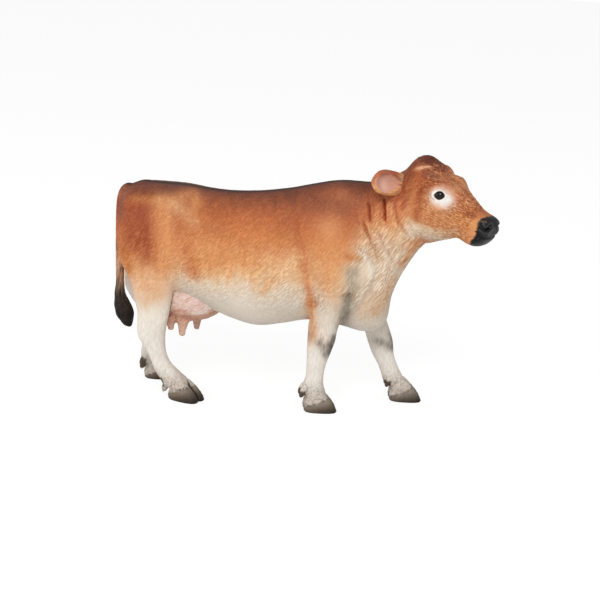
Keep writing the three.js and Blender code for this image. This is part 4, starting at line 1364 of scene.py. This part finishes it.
# Along, height and girth down the tail, then down its switch
tail_shares = [
    [0.085, 0.80, 0.90],
    [0.060, 0.850, 1.0],
    [0.036, 0.850, 1.10],
    [0.0225, 0.79, 1.08],
    [0.0195, 0.68, 1.04],
    [0.0205, 0.56, 1.0],
    [0.0225, 0.42, 0.96],
    [0.0250, 0.29, 0.90],
    [0.0275, 0.19, 0.92],
]
switch_shares = [
    [0.030, 0.12, 0.76],
    [0.038, 0.055, 1.04],
    [0.050, -0.005, 1.12],
    [0.061, -0.065, 0.68],
    [0.068, -0.092, 0.18],
]


def tail_rows():
    """Along, height and radius down the tail."""
    stations = [[along_at(along), height_at(height), girth * thickness / 2]
                for table, thickness in ((tail_shares, tail_thickness), (switch_shares, switch_thickness))
                for along, height, girth in table]
    return smooth_rows(stations, tail_rings)


def tail_form(grow):
    rows = tail_rows()
    runs = np.gradient(rows[:, :2], axis=0)
    runs /= np.linalg.norm(runs, axis=1)[:, None]
    rings = []
    for (along, height, girth), run in zip(rows, runs):
        radius = girth + grow
        back = [-radius * run[1], 0, radius * run[0]]
        rings.append(oval([along, 0, height], back, [0, radius, 0], tail_points))
    return loft("tail", rings)


# Height, middle, half length and half width of the flesh that the tail lies in
rump_pad_rows = [(43, -56.6, 0.8, 2), (48, -57.2, 3.0, 4.5), (54, -57.5, 4.6, 7), (60, -57.5, 5.0, 8.5),
                 (65, -57.0, 4.9, 8), (68.6, -55.7, 4.0, 6), (70.6, -54.0, 2.0, 4)]


def rump_pad():
    return loft("rump_pad", [level_oval([middle, 0, height], length, width, pad_points)
                             for height, middle, length, width in smooth_rows(rump_pad_rows, pad_rings)])


# Torso: trunk with rump, barrel and withers, of solid soft plastic. The limbs, the neck, the udder
# and the tail are moulded apart and glued into it.
torso_mould = ((-70, -30, 20), (45, 30, 100))
torso_grain = 0.34
torso_softness = 0.7

body = joined(joined(body, tail_form(0), "UNION"), rump_pad(), "UNION")
torso = skin_part("painted_torso", *torso_mould, torso_grain, torso_softness)
joined(torso, front_of_neck(), "DIFFERENCE")
for rows, flank in limbs.values():
    joined(torso, limb_zone(rows, flank), "DIFFERENCE")
joined(torso, udder_bag(cut_gap), "DIFFERENCE")
joined(torso, tail_form(tail_border), "DIFFERENCE")
painted(torso)
dressed(torso, coat_finish, "torso")

# Head and neck: one piece of solid soft plastic, glued on behind a fold of the neck. Two sockets
# in it take the ears.
head_mould = ((15, -30, 20), (75, 20, 100))
head_grain = 0.25
head_softness = 0.5

head = skin_part("painted_head", *head_mould, head_grain, head_softness)
joined(head, front_of_neck(), "INTERSECT")
for flank in (-1, 1):
    joined(head, ear_leaf(flank, cut_gap), "DIFFERENCE")
painted(head)
dressed(head, coat_finish, "head")

# Eyes: on the figure they are relief on the head's moulding. Here they are balls set deep between
# the lids, painted black, with a hard gloss.
eye_black = (0.002, 0.002, 0.002, 1)
eye_brown = (0.010, 0.006, 0.004, 1)
iris_scale = 900.0
gloss_ior = 1.36
eye_points = 40
eye_rings = 24
flanks = {"right": -1, "left": 1}


def ball(name, place):
    form = bmesh.new()
    bmesh.ops.create_uvsphere(form, u_segments=eye_points, v_segments=eye_rings, radius=eye_radius)
    bmesh.ops.transform(form, matrix=place, verts=form.verts)
    return add_object(name, form)


material, start = new_material("gloss_eye")
iris = start.noise(start.node("ShaderNodeTexCoord", output="Object"), iris_scale, 2.0)
tint = start.node("ShaderNodeMix", {"data_type": "RGBA"}, {0: iris, 6: eye_black, 7: eye_brown}, 2)
shader = start.node("ShaderNodeBsdfPrincipled", sockets={
    "Base Color": tint, "Roughness": iris * 0.04 + 0.06, "IOR": gloss_ior})
start.node("ShaderNodeOutputMaterial", sockets={0: shader})
for side, flank in flanks.items():
    eye = ball("eye_" + side, head_frame @ Matrix.Translation(eye_place * [1, flank, 1]))
    dressed(eye, material, "head")

# Ears, moulded and painted: dusky pink in the hollow, and the head's tan on the rim, the stem and the back.
# The pink is darker under the upper rim and along the hollow's upper edge, as painted shade, and paler low
# in the middle of the hollow, as painted light. The stem's tan is partly painted light, in the shade by the
# head.
ear_grain = 0.15
ear_softness = 0.26
ear_hair_relief = 0.03
ear_bands = [(4, "9a5238"), (2.6, "b86f4b"), (0.5, "c88358"), (-2, "e2a473"), (-4, "dc9b68")]
ear_crease = [(5.2, 2.6), (3.4, 0.6), (0.6, 0.2)]
ear_middle_share = 0.07                 # of its height, over its root
hollow_middle = 7.8
hollow_half_length = 6.4
hollow_half_height = 3.8
hollow_taper = 0.22
hollow_widest = 9

for side, flank in flanks.items():
    ear = joined(ear_leaf(flank, 0), ear_hollow(flank), "DIFFERENCE")
    ear.name = "painted_ear_" + side
    soften(ear, ear_grain, ear_softness)
    points, normals = points_of(ear)
    local = moved(points, ear_frame(flank).inverted())
    facing = normals @ np.array(ear_frame(flank).col[2])[:3]
    out, across, open_side = local.T
    up = flank * across - ear_middle_share * ear_height
    hair = combed(np.stack([out, open_side, up], 1), 0, 0.5, 2.4)
    hollow_height = hollow_half_height - hollow_taper * np.abs(out - hollow_widest)
    hollow = np.hypot((out - hollow_middle) / hollow_half_length, up / hollow_height)
    inside = (1 - ramp(hollow, 0.80, 1.02)) * ramp(facing, -0.2, 0.2)
    stem = ramp(out, 4.5, 1.5)
    set_points(ear, points + normals * (ear_hair_relief * hair * (1 - inside))[:, None])
    crease = path_distance(local[:, :2] * [1, flank], ear_crease)[0]
    paint = sprayed(
        banded(up + 0.5 * hair, ear_bands),
        # Tan of the stem: the head's colour, made lighter as painted light in the shade between the ear and
        # the head
        ("dc9f72", 0.9 * stem),
        ("dcb9a4", 0.75 * stem * fading(up - 1.6, 1.1)),
        ("cb9482", inside),
        # Painted shade: darker pink under the upper rim of the hollow
        ("a3604f", 0.8 * inside * ramp(up + 0.15 * out, 2.6, 4.4)),
        # Painted light: paler pink low in the middle of the hollow
        ("e3b6a8", 0.9 * inside * fading(np.hypot(out - 8.6, up + 1.2), 2.3)),
        # Painted shade: a dark line along the upper edge of the hollow
        ("a05a42", 0.5 * fading(hollow - 1.0, 0.08) * ramp(up + 0.2 * out, 1.2, 2.6)),
        ("7a4330", 0.55 * fading(crease, 0.4) * ramp(open_side, 0, 1)))
    paint *= (1 - 0.12 * ramp(-hair, 0.1, 1) * (1 - inside))[:, None]
    keep_paint(ear, paint, leg=0, neck=0, face=1, depth=0.3 * (1 - inside))
    dressed(ear, coat_finish, "ear_" + side)

# Legs: each is moulded with its shoulder or thigh and with its foot, and glued to the torso on an
# oval peg.
leg_grain = 0.25
leg_softness = 0.6
leg_room = 20                           # of the mould, before and behind the middle of the leg
leg_room_below = 1
leg_room_above = 4
leg_mould_sides = (0.5, 30)             # from the middle plane

for name, (rows, flank) in limbs.items():
    centres = np.array([row[0] for row in rows])
    low = centres.min(0) - [leg_room, 0, leg_room_below]
    high = centres.max(0) + [leg_room, 0, leg_room_above]
    low[1], high[1] = sorted(flank * reach for reach in leg_mould_sides)
    leg = skin_part("painted_" + name, low, high, leg_grain, leg_softness)
    joined(leg, limb_zone(rows, flank), "INTERSECT")
    joined(leg, foot_form(rows[0], flank, feet[name]), "UNION")
    painted(leg)
    dressed(leg, coat_finish, name)

# Udder, moulded and painted: the bag and its teats are cut to lie against the thighs. It is pink, with
# paler veins over a reddish tone; the pale paint on the raised veins is partly a painted highlight.
udder_grain = 0.2
udder_softness = 0.45
vein_relief = 0.15
cleft_depth = 0.9
udder_bands = [(40, "cfa793"), (36, "dcc6bd"), (31, "dcc0b5"), (28, "c79b86"), (26, "cf9f88"),
               (22, "d4b5a3"), (18, "c99e86")]

udder = udder_bag(0)
udder.name = "painted_udder"
for place in teat_place_shares:
    joined(udder, teat_form(*place), "UNION")
for rows, flank in limbs.values():
    joined(udder, limb_form("thigh", rows), "DIFFERENCE")
soften(udder, udder_grain, udder_softness)
points, normals = points_of(udder)
height = points[:, 2]
cleft = fading(points[:, 1], 1.1) * ramp(height, 36, 28) * ramp(normals[:, 2], 0.2, -0.5)
veins = combed(points * [1, 1, 1.2], math.radians(24), 1.3, 3.6)
set_points(udder, points + normals * (vein_relief * veins - cleft_depth * cleft)[:, None])
paint = sprayed(banded(height + 0.6 * veins, udder_bands),
                # Paler veins: partly their own paint, partly a painted highlight on their raised backs
                ("e9dbd3", 0.80 * ramp(veins, 0.3, 1.0) * ramp(height, 27, 30)),
                ("b97f6b", 0.55 * ramp(-veins, 0.2, 0.8)))
keep_paint(udder, paint, leg=0, neck=0, face=0, depth=0.25)
dressed(udder, coat_finish, "udder")

# Tail, moulded and painted: brown at the dock, tan down its length and black at the switch, whose
# strands are combed in down its sides.
tail_mould = ((-70, -6, 12), (-50, 6, 75))
tail_grain = 0.2
tail_softness = 0.3
strand_relief = 0.22
strand_turn = 2.2                       # of a strand's place round the switch, in millimetres a radian

tail = skin_part("painted_tail", *tail_mould, tail_grain, tail_softness)
joined(tail, tail_form(tail_border), "INTERSECT")
bpy.data.objects.remove(body)
points, normals = points_of(tail)
height = points[:, 2]
switch = ramp(height, 36.5, 33)
middle = np.interp(height, *tail_rows()[::-1, (1, 0)].T)
angle = np.arctan2(points[:, 1], points[:, 0] - middle)
strand = combed(np.stack([angle * strand_turn, 0 * angle, height], 1), math.radians(88), 0.6, 4)
set_points(tail, points + normals * (strand * switch * strand_relief)[:, None])
paint = antiqued_and_shaded(points, normals, coat_paint(points))
hanging = ramp(height, 56, 50)
paint = covered(paint, banded(height + 0.8 * strand, tail_bands), hanging)
paint *= (1 - 0.35 * hanging * ramp(-strand, 0, 1))[:, None]
keep_paint(tail, paint, leg=1, neck=0, face=0, depth=0.35)
dressed(tail, coat_finish, "tail")

# Floor and light: a pale, matt table under soft, even light. Three broad lamps stand in front of
# the figure, over it and behind it.
floor_half_length = 4
floor_grey = (0.86, 0.86, 0.86, 1)
lamp_white = (1, 1, 1, 1)

floor_form = bmesh.new()
bmesh.ops.create_grid(floor_form, x_segments=1, y_segments=1, size=floor_half_length)
floor = add_object("floor", floor_form)
material, start = new_material("pale_floor")
camera_ray = start.node("ShaderNodeLightPath")
matt = start.node("ShaderNodeBsdfDiffuse", sockets={"Color": floor_grey})
bright = start.node("ShaderNodeEmission", sockets={"Color": lamp_white, "Strength": 1.1})
seen = start.node("ShaderNodeMixShader", sockets={0: camera_ray * 0.78, 1: matt, 2: bright})
start.node("ShaderNodeOutputMaterial", sockets={0: seen})
floor.data.materials.append(material)

world = bpy.data.worlds.new("studio")
bpy.context.scene.world = world
world.use_nodes = True
world.node_tree.nodes.clear()
start = Value(world.node_tree)
camera_ray = start.node("ShaderNodeLightPath")
soft = start.node("ShaderNodeBackground", sockets={"Color": lamp_white, "Strength": 0.50})
backdrop = start.node("ShaderNodeBackground", sockets={"Color": lamp_white, "Strength": 1.0})
seen = start.node("ShaderNodeMixShader", sockets={0: camera_ray, 1: soft, 2: backdrop})
start.node("ShaderNodeOutputWorld", sockets={0: seen})


# Name and place of each lamp, the length of its sides, in metres, and its power in watts
lamps = [
    ("key_lamp", (-0.06, -0.88, 0.65), 0.4, 6.6),
    ("top_lamp", (0.3, 0.2, 0.9), 0.8, 0.8),
    ("rear_lamp", (-0.9, -0.15, 0.2), 0.5, 2.0),
]
for name, place, size, power_watts in lamps:
    light = bpy.data.lights.new(name, "AREA")
    light.size = size
    light.energy = power_watts
    lamp = bpy.data.objects.new(name, light)
    turned = (aim - Vector(place)).to_track_quat("-Z", "Y").to_matrix().to_4x4()
    lamp.matrix_world = Matrix.Translation(place) @ turned
    bpy.context.scene.collection.objects.link(lamp)
bpy.context.scene.view_settings.view_transform = "Standard"
